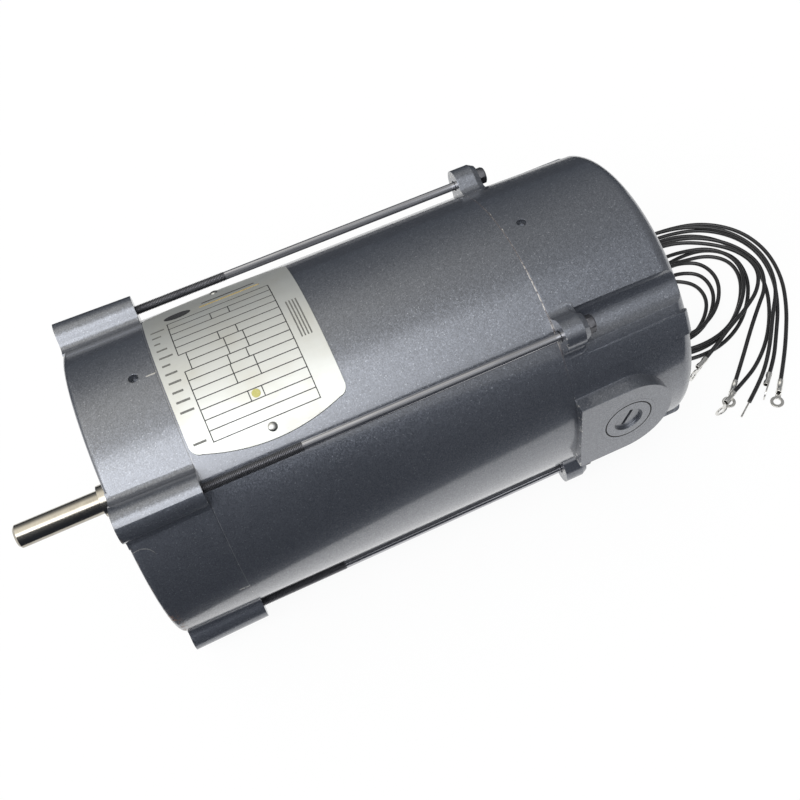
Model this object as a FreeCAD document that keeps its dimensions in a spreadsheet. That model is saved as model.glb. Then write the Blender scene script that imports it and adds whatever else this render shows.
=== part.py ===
import FreeCAD, Part
import math
import os

import Sketcher

Vector = FreeCAD.Vector
X_AXIS = Vector(1, 0, 0)
Y_AXIS = Vector(0, 1, 0)
Z_AXIS = Vector(0, 0, 1)

doc = FreeCAD.newDocument("dc_motor")
sheet = doc.addObject("Spreadsheet::Sheet", "size")


class Size:
    """A length in millimetres, kept both as a number and as the sheet expression behind it."""

    def __init__(self, value, text):
        self.value = value
        self.text = text

    def __add__(self, other):
        other = as_size(other)
        return Size(self.value + other.value, "(%s + %s)" % (self.text, other.text))

    def __sub__(self, other):
        other = as_size(other)
        return Size(self.value - other.value, "(%s - %s)" % (self.text, other.text))

    def __mul__(self, factor):
        factor = as_size(factor)
        return Size(self.value * factor.value, "(%s * %s)" % (self.text, factor.text))

    def __truediv__(self, divisor):
        divisor = as_size(divisor)
        return Size(self.value / divisor.value, "(%s / %s)" % (self.text, divisor.text))

    def __neg__(self):
        return Size(-self.value, "(-%s)" % self.text)

    def __radd__(self, other):
        return as_size(other) + self

    def __rsub__(self, other):
        return as_size(other) - self

    __rmul__ = __mul__

    def root(self):
        return Size(math.sqrt(self.value), "sqrt(%s)" % self.text)


def as_size(number):
    if isinstance(number, Size):
        return number
    return Size(float(number), "(%.9f)" % number)


def size(name, value):
    """Write one driving dimension into the sheet and return it."""
    row = len(sheet_names) + 1
    sheet_names.append(name)
    sheet.set("A%d" % row, name)
    sheet.set("B%d" % row, str(value))
    sheet.setAlias("B%d" % row, name)
    return Size(float(value), "size." + name)


sheet_names = []

# Casing: bell, shell and rear cover stand in line, bolted through four outside lugs
frame_radius = size("frame_radius", 77.8)
bell_length = size("bell_length", 40.3)
shell_length = size("shell_length", 178.5)
cover_length = size("cover_length", 70)
shell_wall = size("shell_wall", 4.8)
register_length = size("register_length", 5)
register_wall = size("register_wall", 5)
bell_wall = size("bell_wall", 8)
bell_edge_round = size("bell_edge_round", 2.5)
cover_wall = size("cover_wall", 6)
cover_draft = size("cover_draft", 1.4)
cover_edge_round = size("cover_edge_round", 8)
hub_radius = size("hub_radius", 26)
slip_fit = size("slip_fit", 0.05)

# Drive face: shallow pilot and four tapped holes
pilot_radius = size("pilot_radius", 38.1)
pilot_height = size("pilot_height", 3.2)
face_bolt_circle = size("face_bolt_circle", 95.25)
face_hole_radius = size("face_hole_radius", 2.55)
face_hole_depth = size("face_hole_depth", 16)
face_boss_radius = size("face_boss_radius", 8)

# Through bolts and the lugs that carry them
bolt_stand_off = size("bolt_stand_off", 5.5)
bolt_shank_radius = size("bolt_shank_radius", 2.15)
bolt_thread_radius = size("bolt_thread_radius", 2.41)
bolt_thread_length = size("bolt_thread_length", 76)
bolt_end_depth = size("bolt_end_depth", 12)
bolt_head_radius = size("bolt_head_radius", 4.6)
bolt_head_height = size("bolt_head_height", 3.4)
bolt_hole_clearance = size("bolt_hole_clearance", 0.35)
washer_radius = size("washer_radius", 4.4)
washer_thickness = size("washer_thickness", 1.2)
lug_nose_radius = size("lug_nose_radius", 8.8)
lug_seam_radius = size("lug_seam_radius", 8)
lug_blend_radius = size("lug_blend_radius", 5)
rear_lug_length = size("rear_lug_length", 13)
rear_lug_radius = size("rear_lug_radius", 8.2)
lug_corner_length = size("lug_corner_length", 3)
lug_corner_drop = size("lug_corner_drop", 1.6)
trough_radius = size("trough_radius", 11.3)
rim_rib_drop = size("rim_rib_drop", 0.2)
rim_rib_round = size("rim_rib_round", 4)
top_hole_radius = size("top_hole_radius", 2.4)
top_hole_depth = size("top_hole_depth", 4)
top_hole_inset = size("top_hole_inset", 10.5)

# Brush gear on the horizontal centre line of the rear cover
boss_rise = size("boss_rise", 3.6)
boss_half_height = size("boss_half_height", 25)
boss_depth = size("boss_depth", 20)
brush_setback = size("brush_setback", 27)
brush_axial = size("brush_axial", 14)
brush_tangential = size("brush_tangential", 9)
brush_length = size("brush_length", 28)
brush_gap = size("brush_gap", 0.25)
brush_play = size("brush_play", 0.2)
guide_wall = size("guide_wall", 1)
sleeve_radius = size("sleeve_radius", 12.5)
sleeve_inner_end = size("sleeve_inner_end", 31)
sleeve_flange_radius = size("sleeve_flange_radius", 15.5)
sleeve_flange_height = size("sleeve_flange_height", 6.5)
cap_radius = size("cap_radius", 13)
cap_height = size("cap_height", 4.5)
cap_recess_radius = size("cap_recess_radius", 8)
cap_recess_depth = size("cap_recess_depth", 1.6)
cap_slot_length = size("cap_slot_length", 11)
cap_slot_width = size("cap_slot_width", 1.8)
cap_slot_depth = size("cap_slot_depth", 1.4)
spring_wire = size("spring_wire", 0.9)
spring_radius = size("spring_radius", 3.4)

# Shaft, bearings and rotor
shaft_radius = size("shaft_radius", 6.35)
shaft_reach = size("shaft_reach", 58.3)
shaft_tip_chamfer = size("shaft_tip_chamfer", 1.2)
collar_reach = size("collar_reach", 13.5)
core_shaft_radius = size("core_shaft_radius", 10)
shaft_hole_clearance = size("shaft_hole_clearance", 0.9)
bearing_bore_radius = size("bearing_bore_radius", 8.5)
bearing_radius = size("bearing_radius", 20)
bearing_width = size("bearing_width", 12)
bearing_setback = size("bearing_setback", 12)
shoulder_relief = size("shoulder_relief", 1)
race_radius = size("race_radius", 14.25)
ball_radius = size("ball_radius", 3.375)
ball_play = size("ball_play", 0.12)
race_land = size("race_land", 2.25)
cage_half_thickness = size("cage_half_thickness", 0.9)
cage_width = size("cage_width", 8.4)
circlip_width = size("circlip_width", 1.4)
circlip_depth = size("circlip_depth", 1.5)
wave_washer_gap = size("wave_washer_gap", 3)
wave_washer_thickness = size("wave_washer_thickness", 0.6)
wave_washer_inner = size("wave_washer_inner", 15.8)
core_setback = size("core_setback", 76)
core_length = size("core_length", 90)
core_radius = size("core_radius", 37.2)
air_gap = size("air_gap", 0.8)
slot_width = size("slot_width", 4)
slot_floor_radius = size("slot_floor_radius", 23)
winding_play = size("winding_play", 0.25)
winding_front_reach = size("winding_front_reach", 20)
winding_rear_reach = size("winding_rear_reach", 26)
winding_inner_radius = size("winding_inner_radius", 15)
commutator_radius = size("commutator_radius", 24)
riser_radius = size("riser_radius", 27.5)
riser_width = size("riser_width", 6)
commutator_face = size("commutator_face", 32)
commutator_hub_radius = size("commutator_hub_radius", 15)
bar_gap = size("bar_gap", 0.6)

# Field
field_ring_wall = size("field_ring_wall", 7)
pole_width = size("pole_width", 40)
pole_shoe_thickness = size("pole_shoe_thickness", 6)
coil_clearance = size("coil_clearance", 0.3)
coil_build = size("coil_build", 14)
coil_lift = size("coil_lift", 0.3)

# Nameplate
plate_length = size("plate_length", 76)
plate_inset = size("plate_inset", 1)
plate_half_width = size("plate_half_width", 45.1)
plate_bulge = size("plate_bulge", 5)
plate_corner = size("plate_corner", 4.5)
plate_thickness = size("plate_thickness", 0.5)
plate_seat = size("plate_seat", 0.12)
rivet_radius = size("rivet_radius", 1.2)
rivet_head_radius = size("rivet_head_radius", 2.3)
rivet_head_height = size("rivet_head_height", 1)
rivet_grip = size("rivet_grip", 3)
rivet_inset = size("rivet_inset", 4.3)

# Leads and what is on them
lead_radius = size("lead_radius", 1.25)
bundle_radius = size("bundle_radius", 2.9)
grommet_y = size("grommet_y", -28)
grommet_z = size("grommet_z", -44)
grommet_flange_radius = size("grommet_flange_radius", 9)
grommet_flange = size("grommet_flange", 2)
grommet_neck_radius = size("grommet_neck_radius", 6.5)
grommet_bore_play = size("grommet_bore_play", 0.45)
barrel_radius = size("barrel_radius", 1.7)
barrel_length = size("barrel_length", 9)
ring_radius = size("ring_radius", 4)
ring_hole_radius = size("ring_hole_radius", 2.15)
ring_thickness = size("ring_thickness", 0.8)
tongue_length = size("tongue_length", 4)
tongue_half_width = size("tongue_half_width", 1.6)
strand_length = size("strand_length", 12)
strand_radius = size("strand_radius", 0.55)

doc.recompute()

# Stations along the shaft, from the drive face at zero towards the rear
seam_front = -bell_length
seam_rear = seam_front - shell_length
rear_end = seam_rear - cover_length
shell_inner = frame_radius - shell_wall
bolt_circle_radius = frame_radius + bolt_stand_off
boss_face = frame_radius + boss_rise
rim_rib_radius = frame_radius - rim_rib_drop
register_radius = shell_inner - slip_fit
cavity_radius = register_radius - register_wall
brush_x = seam_rear - brush_setback
core_front = -core_setback
core_rear = core_front - core_length
commutator_rear = brush_x - commutator_face / 2
riser_rear = commutator_rear + commutator_face
riser_front = riser_rear + riser_width
front_bearing_front = -bearing_setback
front_bearing_rear = front_bearing_front - bearing_width
bore_floor = rear_end + cover_wall
rear_bearing_rear = bore_floor + wave_washer_gap
rear_bearing_front = rear_bearing_rear + bearing_width
shaft_rear = rear_bearing_rear + slip_fit * 10
bore_radius = bearing_radius + slip_fit
overcut = size("overcut", 2)

LUG_ANGLES = (45, 135, 225, 315)
ALONG_X = FreeCAD.Rotation(Y_AXIS, 90)


def bind(obj, **sizes):
    for name, length in sizes.items():
        obj.setExpression(name, as_size(length).text)


def place(obj, x, y, z, rotation=FreeCAD.Rotation()):
    spot = [as_size(length) for length in (x, y, z)]
    base = Vector(*[length.value for length in spot])
    obj.Placement = FreeCAD.Placement(base, rotation)
    for axis, length in zip("xyz", spot):
        obj.setExpression("Placement.Base." + axis, length.text)


def turned(angle, across, out):
    """World y and z of a point, given across and out from the shaft at this angle from +Y."""
    cosine = math.cos(math.radians(angle))
    sine = math.sin(math.radians(angle))
    return as_size(out) * cosine - as_size(across) * sine, as_size(out) * sine + as_size(across) * cosine


def rod(name, front, rear, radius, y=0, z=0):
    """Round bar along the shaft direction."""
    obj = doc.addObject("Part::Cylinder", name)
    bind(obj, Radius=radius, Height=as_size(front) - rear)
    place(obj, rear, y, z, ALONG_X)
    return obj


def sector(name, front, rear, radius, start, sweep):
    """Slice of a round bar on the shaft axis, from one angle through a sweep."""
    obj = rod(name, front, rear, radius)
    obj.Angle = sweep
    obj.Placement.Rotation = FreeCAD.Rotation(X_AXIS, start + 90) * ALONG_X
    return obj


def spoke(name, inner, outer, radius, angle, x):
    """Round bar that points away from the shaft at an angle from +Y."""
    obj = doc.addObject("Part::Cylinder", name)
    bind(obj, Radius=radius, Height=as_size(outer) - inner)
    y, z = turned(angle, 0, inner)
    place(obj, x, y, z, FreeCAD.Rotation(X_AXIS, angle - 90))
    return obj


def block(name, low, high, angle=0):
    """Box between two corners (x, across, out), turned about the shaft to an angle from +Y."""
    obj = doc.addObject("Part::Box", name)
    edges = [as_size(b) - a for a, b in zip(low, high)]
    bind(obj, Length=edges[0], Width=edges[1], Height=edges[2])
    y, z = turned(angle, -as_size(low[1]), low[2])
    place(obj, low[0], y, z, FreeCAD.Rotation(X_AXIS, angle - 90))
    return obj


def fuse(name, pieces):
    obj = doc.addObject("Part::MultiFuse", name)
    obj.Shapes = pieces
    obj.Refine = True
    return obj


def common(name, pieces):
    obj = doc.addObject("Part::MultiCommon", name)
    obj.Shapes = pieces
    obj.Refine = True
    return obj


def cut(name, base, tools):
    obj = doc.addObject("Part::Cut", name)
    obj.Base = base
    obj.Tool = tools[0] if len(tools) == 1 else fuse(name + "_tools", tools)
    obj.Refine = True
    return obj


def group(name, pieces):
    obj = doc.addObject("Part::Compound", name)
    obj.Links = pieces
    return obj


def tube(name, front, rear, outer, inner, y=0, z=0):
    wall = rod(name + "_wall", front, rear, outer, y, z)
    hole = rod(name + "_hole", as_size(front) + overcut, as_size(rear) - overcut, inner, y, z)
    return cut(name, wall, [hole])


def outline(body, name, plane, corners, offset=0):
    """Closed sketch through corners (x, y), or (x, y, radius, turn) where an arc leaves the corner.

    Every corner is held by two dimensions from the origin and every arc by its radius.
    """
    sketch = body.newObject("Sketcher::SketchObject", name)
    sketch.AttachmentSupport = [(origin_feature(body, plane), "")]
    sketch.MapMode = "FlatFace"
    offset = as_size(offset)
    sketch.AttachmentOffset = FreeCAD.Placement(Vector(0, 0, offset.value), FreeCAD.Rotation())
    sketch.setExpression("AttachmentOffset.Base.z", offset.text)
    spots = [Vector(as_size(c[0]).value, as_size(c[1]).value, 0) for c in corners]
    ends = []
    for index, corner in enumerate(corners):
        start = spots[index]
        finish = spots[(index + 1) % len(corners)]
        if len(corner) == 2:
            sketch.addGeometry(Part.LineSegment(start, finish))
            ends.append((1, 2))
        else:
            sketch.addGeometry(quarter_arc(start, finish, corner[2].value, corner[3]))
            ends.append((1, 2) if corner[3] == "left" else (2, 1))
    for index, corner in enumerate(corners):
        after = (index + 1) % len(corners)
        sketch.addConstraint(Sketcher.Constraint("Coincident", index, ends[index][1], after, ends[after][0]))
        for kind, length in zip(("DistanceX", "DistanceY"), corner[:2]):
            length = as_size(length)
            rule = Sketcher.Constraint(kind, -1, 1, index, ends[index][0], length.value)
            number = sketch.addConstraint(rule)
            sketch.setExpression("Constraints[%d]" % number, length.text)
        if len(corner) == 4:
            number = sketch.addConstraint(Sketcher.Constraint("Radius", index, corner[2].value))
            sketch.setExpression("Constraints[%d]" % number, corner[2].text)
    return sketch


def quarter_arc(start, finish, radius, turn):
    """Arc of the given radius between two points, bending left or right on the way."""
    chord = finish - start
    side = 1 if turn == "left" else -1
    rise = math.sqrt(max(radius ** 2 - chord.Length ** 2 / 4, 0))
    across = Vector(-chord.y, chord.x, 0).normalize()
    centre = (start + finish) / 2 + across * rise * side
    first, last = (start, finish) if turn == "left" else (finish, start)
    angles = [math.atan2(spot.y - centre.y, spot.x - centre.x) for spot in (first, last)]
    return Part.ArcOfCircle(Part.Circle(centre, Vector(0, 0, 1), radius), *angles)


def origin_feature(body, role):
    return [feature for feature in body.Origin.OriginFeatures if feature.Role == role][0]


def new_body(name):
    return doc.addObject("PartDesign::Body", name)


def revolve(body, name, corners, sweep=360):
    """Turn a profile (station, radius) about the shaft axis."""
    sketch = outline(body, name + "_profile", "XY_Plane", corners)
    turn = body.newObject("PartDesign::Revolution", name)
    turn.Profile = sketch
    turn.ReferenceAxis = (sketch, ["H_Axis"])
    turn.Angle = sweep
    return turn


def around(body, name, feature, count):
    """Repeat a feature evenly about the shaft axis."""
    pattern = body.newObject("PartDesign::PolarPattern", name)
    pattern.Originals = [feature]
    pattern.Axis = (origin_feature(body, "X_Axis"), [""])
    pattern.Angle = 360
    pattern.Occurrences = count
    body.Tip = pattern
    return pattern


def lug_outline(body, name, station, nose):
    """Section of a bolt lug at the first lug angle: round nose on the bolt axis, blended feet."""
    foot = nose + lug_blend_radius
    seat = frame_radius - foot * foot / (2 * frame_radius) - slip_fit
    shoulder = seat + lug_blend_radius
    root = seat - register_wall
    crest = bolt_circle_radius + nose
    across_out = [
        (foot, root),
        (foot, seat, lug_blend_radius, "right"),
        (nose, shoulder),
        (nose, bolt_circle_radius, nose, "left"),
        (as_size(0), crest, nose, "left"),
        (-nose, bolt_circle_radius),
        (-nose, shoulder, lug_blend_radius, "right"),
        (-foot, seat),
        (-foot, root),
    ]
    corners = []
    for corner in across_out:
        y, z = turned(LUG_ANGLES[0], -corner[0], corner[1])
        corners.append((y, z) + tuple(corner[2:]))
    return outline(body, name, "YZ_Plane", corners, station)


def add_lugs(body, name, front, front_nose, rear, rear_nose):
    """Loft one lug between two stations and repeat it at every lug angle."""
    loft = body.newObject("PartDesign::AdditiveLoft", name)
    loft.Profile = lug_outline(body, name + "_front", front, front_nose)
    loft.Sections = [lug_outline(body, name + "_rear", rear, rear_nose)]
    around(body, name + "_ring", loft, len(LUG_ANGLES))


def bolt_rods(name, front, rear, radius):
    rods = []
    for angle in LUG_ANGLES:
        y, z = turned(angle, 0, bolt_circle_radius)
        rods.append(rod("%s_%d" % (name, angle), front, rear, radius, y, z))
    return rods


parts = {}


def keep(label, obj):
    """Name a finished sub-part: the label is its node."""
    obj.Label = label
    parts[label] = obj
    return obj


# Drive-end bell: one turned casting profile, four lofted lugs, bosses behind the tapped face holes
bell_body = new_body("bell_casting")
shaft_hole = bearing_bore_radius + shaft_hole_clearance
bell_hub_rear = front_bearing_rear - circlip_width - register_length
shoulder_relief_front = front_bearing_front + shoulder_relief
revolve(bell_body, "bell_turned", [
    (pilot_height, shaft_hole),
    (pilot_height, pilot_radius),
    (0, pilot_radius),
    (0, frame_radius - bell_edge_round, bell_edge_round, "left"),
    (-bell_edge_round, frame_radius),
    (seam_front, frame_radius),
    (seam_front, register_radius),
    (seam_front - register_length, register_radius),
    (seam_front - register_length, cavity_radius),
    (-bell_wall, cavity_radius),
    (-bell_wall, hub_radius),
    (bell_hub_rear, hub_radius),
    (bell_hub_rear, bore_radius),
    (front_bearing_front, bore_radius),
    (front_bearing_front, race_radius),
    (shoulder_relief_front, race_radius),
    (shoulder_relief_front, shaft_hole),
])
add_lugs(bell_body, "bell_lug", as_size(0), lug_nose_radius, seam_front, lug_seam_radius)
face_bosses = []
face_holes = []
for angle in LUG_ANGLES:
    y, z = turned(angle, 0, face_bolt_circle / 2)
    boss_rear = -face_hole_depth - bell_wall / 2
    face_bosses.append(rod("face_boss_%d" % angle, -bell_wall / 2, boss_rear, face_boss_radius, y, z))
    face_holes.append(rod("face_hole_%d" % angle, overcut, -face_hole_depth, face_hole_radius, y, z))
circlip_front = front_bearing_rear
circlip_rear = circlip_front - circlip_width
circlip_outer = bore_radius + circlip_depth
circlip_groove = rod("circlip_groove", circlip_front, circlip_rear, circlip_outer)
tap_radius = bolt_thread_radius + slip_fit
bell_tap_holes = bolt_rods("bell_tap", -bolt_end_depth, seam_front - overcut, tap_radius)
bell_top_hole = spoke(
    "bell_top_hole", frame_radius - top_hole_depth, frame_radius + overcut, top_hole_radius, 90,
    seam_front + top_hole_inset)
bell_blank = fuse("bell_blank", [bell_body] + face_bosses)
keep("drive_end_bell", cut(
    "drive_end_bell", bell_blank, face_holes + bell_tap_holes + [circlip_groove, bell_top_hole]))

# Yoke shell: plain rolled tube with the two blind holes that take the nameplate rivets
plate_x = seam_front - plate_inset - plate_length / 2
plate_inner = frame_radius + plate_seat
plate_outer = plate_inner + plate_thickness
rivet_y = plate_half_width + plate_bulge - rivet_inset
rivet_lean = round(math.degrees(math.acos(rivet_y.value / plate_outer.value)), 3)
RIVET_ANGLES = (rivet_lean, 180 - rivet_lean)
rivet_holes = [
    spoke("rivet_hole_%d" % angle, frame_radius - rivet_grip, plate_outer + overcut,
          rivet_radius + slip_fit, angle, plate_x)
    for angle in RIVET_ANGLES]
shell_tube = tube("shell_tube", seam_front, seam_rear, frame_radius, shell_inner)
keep("yoke_shell", cut("yoke_shell", shell_tube, rivet_holes))

# Nameplate: a sheet with bulged long edges, rolled to the shell and held by two drive rivets
plate_front = plate_x + plate_length / 2
plate_rear = plate_x - plate_length / 2
plate_side = plate_half_width - plate_corner
half_bulge = plate_length / 2 - plate_corner
bulge_radius = (half_bulge * half_bulge + plate_bulge * plate_bulge) / (plate_bulge * 2)
plate_body = new_body("plate_cutter")
plate_pad = plate_body.newObject("PartDesign::Pad", "plate_pad")
plate_pad.Profile = outline(plate_body, "plate_outline", "XY_Plane", [
    (plate_front, -plate_side),
    (plate_front, plate_side, plate_corner, "left"),
    (plate_front - plate_corner, plate_half_width, bulge_radius, "left"),
    (plate_rear + plate_corner, plate_half_width, plate_corner, "left"),
    (plate_rear, plate_side),
    (plate_rear, -plate_side, plate_corner, "left"),
    (plate_rear + plate_corner, -plate_half_width, bulge_radius, "left"),
    (plate_front - plate_corner, -plate_half_width, plate_corner, "left"),
])
plate_pad.setExpression("Length", (plate_outer + overcut).text)
plate_ring = tube("plate_ring", plate_front + overcut, plate_rear - overcut, plate_outer, plate_inner)
plate_sheet = common("plate_sheet", [plate_ring, plate_body])
keep("nameplate", cut("nameplate", plate_sheet, rivet_holes))

rivets = []
for angle in RIVET_ANGLES:
    head_seat = plate_outer + slip_fit
    shank = spoke("rivet_shank_%d" % angle, frame_radius - rivet_grip + slip_fit, head_seat,
                  rivet_radius, angle, plate_x)
    head = doc.addObject("Part::Cone", "rivet_head_%d" % angle)
    bind(head, Radius1=rivet_head_radius, Radius2=rivet_radius, Height=rivet_head_height)
    head_y, head_z = turned(angle, 0, head_seat)
    place(head, plate_x, head_y, head_z, FreeCAD.Rotation(X_AXIS, angle - 90))
    rivets.append(fuse("rivet_%d" % angle, [shank, head]))
keep("nameplate_rivets", group("nameplate_rivets", rivets))

# Rear cover: turned casting profile with draft, four short lugs, side ribs, brush bosses, socket troughs
cover_body = new_body("cover_casting")
rim_radius = frame_radius - cover_draft
revolve(cover_body, "cover_turned", [
    (seam_rear + register_length, cavity_radius),
    (seam_rear, cavity_radius),
    (bore_floor, cavity_radius),
    (bore_floor, hub_radius),
    (rear_bearing_front + register_length, hub_radius),
    (rear_bearing_front + register_length, bore_radius),
    (bore_floor, bore_radius),
    (bore_floor, 0),
    (rear_end, 0),
    (rear_end, rim_radius - cover_edge_round, cover_edge_round, "right"),
    (rear_end + cover_edge_round, rim_radius),
    (seam_rear, frame_radius),
    (seam_rear, register_radius),
    (seam_rear + register_length, register_radius),
])
lug_rear = seam_rear - rear_lug_length
lug_corner = lug_rear + lug_corner_length
add_lugs(cover_body, "cover_lug", seam_rear, rear_lug_radius, lug_corner, rear_lug_radius)
lug_end_radius = rear_lug_radius - lug_corner_drop
add_lugs(cover_body, "cover_lug_end", lug_corner, rear_lug_radius, lug_rear, lug_end_radius)
RIB_SWEEP = 9
RIB_STARTS = (25.5, 145.5, 205.5, 325.5)
rim_ribs = []
for start in RIB_STARTS:
    rib = new_body("rim_rib_%d" % start)
    revolve(rib, "rim_rib_%d_turned" % start, [
        (seam_rear, cavity_radius + register_wall / 2),
        (rear_end + rim_rib_round, cavity_radius + register_wall / 2),
        (rear_end + rim_rib_round / 4, rim_rib_radius - rim_rib_round, rim_rib_round, "right"),
        (rear_end + rim_rib_round * 1.25, rim_rib_radius),
        (seam_rear, rim_rib_radius),
    ], RIB_SWEEP)
    rib.Placement = FreeCAD.Placement(Vector(), FreeCAD.Rotation(X_AXIS, start))
    rim_ribs.append(rib)
boss_root = boss_face - boss_depth
brush_bosses = []
brush_bores = []
for angle in (0, 180):
    brush_bosses.append(block("boss_block_%d" % angle, (brush_x, -boss_half_height, boss_root),
                              (seam_rear, boss_half_height, boss_face), angle))
    brush_bosses.append(spoke("boss_nose_%d" % angle, boss_root, boss_face, boss_half_height, angle, brush_x))
    brush_bores.append(spoke("sleeve_bore_%d" % angle, 0, boss_face + overcut, sleeve_radius + slip_fit,
                             angle, brush_x))
    brush_bores.append(spoke("flange_bore_%d" % angle, boss_face - sleeve_flange_height,
                             boss_face + overcut, sleeve_flange_radius + slip_fit, angle, brush_x))
troughs = bolt_rods("trough", lug_rear, rear_end - overcut, trough_radius)
hole_radius = bolt_thread_radius + bolt_hole_clearance
cover_bolt_holes = bolt_rods("cover_bolt_hole", seam_rear + overcut, rear_end - overcut, hole_radius)
lead_hole = rod("lead_hole", bore_floor + overcut, rear_end - overcut, grommet_neck_radius + slip_fit,
                grommet_y, grommet_z)
cover_top_hole = spoke("cover_top_hole", frame_radius - top_hole_depth, frame_radius + overcut,
                       top_hole_radius, 90, seam_rear - top_hole_inset)
cover_blank = fuse("cover_blank", [cover_body] + rim_ribs + brush_bosses)
keep("rear_cover", cut("rear_cover", cover_blank,
                       brush_bores + troughs + cover_bolt_holes + [lead_hole, cover_top_hole]))

# Through bolts: rolled shank, threaded front end, hex head over a lock washer on the rear lugs
head_front = lug_rear - washer_thickness
thread_rear = -bolt_end_depth - bolt_thread_length
bolts = []
washers = []
for angle in LUG_ANGLES:
    y, z = turned(angle, 0, bolt_circle_radius)
    thread = rod("bolt_thread_%d" % angle, -bolt_end_depth - slip_fit, thread_rear, bolt_thread_radius, y, z)
    shank = rod("bolt_shank_%d" % angle, thread_rear, head_front, bolt_shank_radius, y, z)
    head = doc.addObject("Part::Prism", "bolt_head_%d" % angle)
    head.Polygon = 6
    bind(head, Circumradius=bolt_head_radius, Height=bolt_head_height)
    place(head, head_front - bolt_head_height, y, z, ALONG_X)
    bolts.append(fuse("bolt_%d" % angle, [thread, shank, head]))
    washers.append(tube("washer_%d" % angle, lug_rear, head_front, washer_radius, hole_radius, y, z))
keep("through_bolts", group("through_bolts", bolts))
keep("bolt_lockwashers", group("bolt_lockwashers", washers))

# Shaft: drive end, bearing seats and the thick middle that carries core and commutator
shaft_body = new_body("shaft_bar")
revolve(shaft_body, "shaft_turned", [
    (shaft_reach, 0),
    (shaft_reach, shaft_radius - shaft_tip_chamfer),
    (shaft_reach - shaft_tip_chamfer, shaft_radius),
    (collar_reach, shaft_radius),
    (collar_reach, bearing_bore_radius),
    (front_bearing_rear, bearing_bore_radius),
    (front_bearing_rear, core_shaft_radius),
    (rear_bearing_front, core_shaft_radius),
    (rear_bearing_front, bearing_bore_radius),
    (shaft_rear, bearing_bore_radius),
    (shaft_rear, 0),
])
keep("shaft", shaft_body)


# Ball bearings: grooved rings, caged balls
BALL_COUNT = 8


def bearing(end, front, rear):
    middle = (front + rear) / 2
    groove = doc.addObject("Part::Torus", end + "_groove")
    bind(groove, Radius1=race_radius, Radius2=ball_radius + ball_play)
    place(groove, middle, 0, 0, ALONG_X)
    inner = tube(end + "_inner_blank", front, rear, race_radius - race_land, bearing_bore_radius)
    outer = tube(end + "_outer_blank", front, rear, bearing_radius, race_radius + race_land)
    keep(end + "_bearing_inner_ring", cut(end + "_inner_ring", inner, [groove]))
    keep(end + "_bearing_outer_ring", cut(end + "_outer_ring", outer, [groove]))
    balls = []
    pockets = []
    for index in range(BALL_COUNT):
        y, z = turned(index * 360 / BALL_COUNT, 0, race_radius)
        for name, radius, into in (
                ("ball", ball_radius, balls), ("pocket", ball_radius + ball_play, pockets)):
            sphere = doc.addObject("Part::Sphere", "%s_%s_%d" % (end, name, index))
            bind(sphere, Radius=radius)
            place(sphere, middle, y, z)
            into.append(sphere)
    keep(end + "_bearing_balls", group(end + "_balls", balls))
    strip = tube(end + "_cage_strip", middle + cage_width / 2, middle - cage_width / 2,
                 race_radius + cage_half_thickness, race_radius - cage_half_thickness)
    keep(end + "_bearing_cage", cut(end + "_cage", strip, pockets))


bearing("front", front_bearing_front, front_bearing_rear)
bearing("rear", rear_bearing_front, rear_bearing_rear)

# Circlip that holds the front bearing in the bell, open at the bottom
circlip_inner = bearing_radius - circlip_depth
clip_ring = tube("clip_ring", circlip_front - slip_fit, circlip_rear + slip_fit, circlip_outer - slip_fit,
                 circlip_inner)
clip_gap = block("clip_gap", (circlip_rear - overcut, -circlip_depth * 2, 0),
                 (circlip_front + overcut, circlip_depth * 2, circlip_outer + overcut), 270)
keep("front_bearing_circlip", cut("front_bearing_circlip", clip_ring, [clip_gap]))

# Wave washer behind the rear bearing: three waves between the bore floor and the outer ring
WAVES = 3
POINTS_PER_WAVE = 8


def wave_ring(radius, middle, height):
    spots = []
    for index in range(WAVES * POINTS_PER_WAVE):
        turn = index * 2 * math.pi / (WAVES * POINTS_PER_WAVE)
        station = middle + height * math.cos(WAVES * turn)
        spots.append(Vector(station, radius * math.cos(turn), radius * math.sin(turn)))
    curve = Part.BSplineCurve()
    curve.interpolate(spots, PeriodicFlag=True)
    return curve.toShape()


wave_height = (wave_washer_gap - wave_washer_thickness) / 2 - slip_fit
wave_middle = bore_floor + wave_washer_gap / 2 - wave_washer_thickness / 2
wave_outer = bore_radius - slip_fit * 4
wave_face = Part.makeRuledSurface(
    wave_ring(wave_washer_inner.value, wave_middle.value, wave_height.value),
    wave_ring(wave_outer.value, wave_middle.value, wave_height.value))
wave_washer = doc.addObject("Part::Feature", "wave_washer")
wave_washer.Shape = wave_face.extrude(Vector(wave_washer_thickness.value, 0, 0))
keep("rear_wave_washer", wave_washer)

# Armature core: laminations with open slots
SLOT_COUNT = 20
core_body = new_body("core_stack")
revolve(core_body, "core_turned", [
    (core_front, core_shaft_radius),
    (core_front, core_radius),
    (core_rear, core_radius),
    (core_rear, core_shaft_radius),
])
slot_sketch = outline(core_body, "slot_section", "YZ_Plane", [
    (-slot_width / 2, slot_floor_radius),
    (slot_width / 2, slot_floor_radius),
    (slot_width / 2, core_radius + overcut),
    (-slot_width / 2, core_radius + overcut),
], core_front)
slot = core_body.newObject("PartDesign::Pocket", "core_slot")
slot.Profile = slot_sketch
slot.setExpression("Length", core_length.text)
around(core_body, "core_slots", slot, SLOT_COUNT)
keep("armature_core", core_body)

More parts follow.
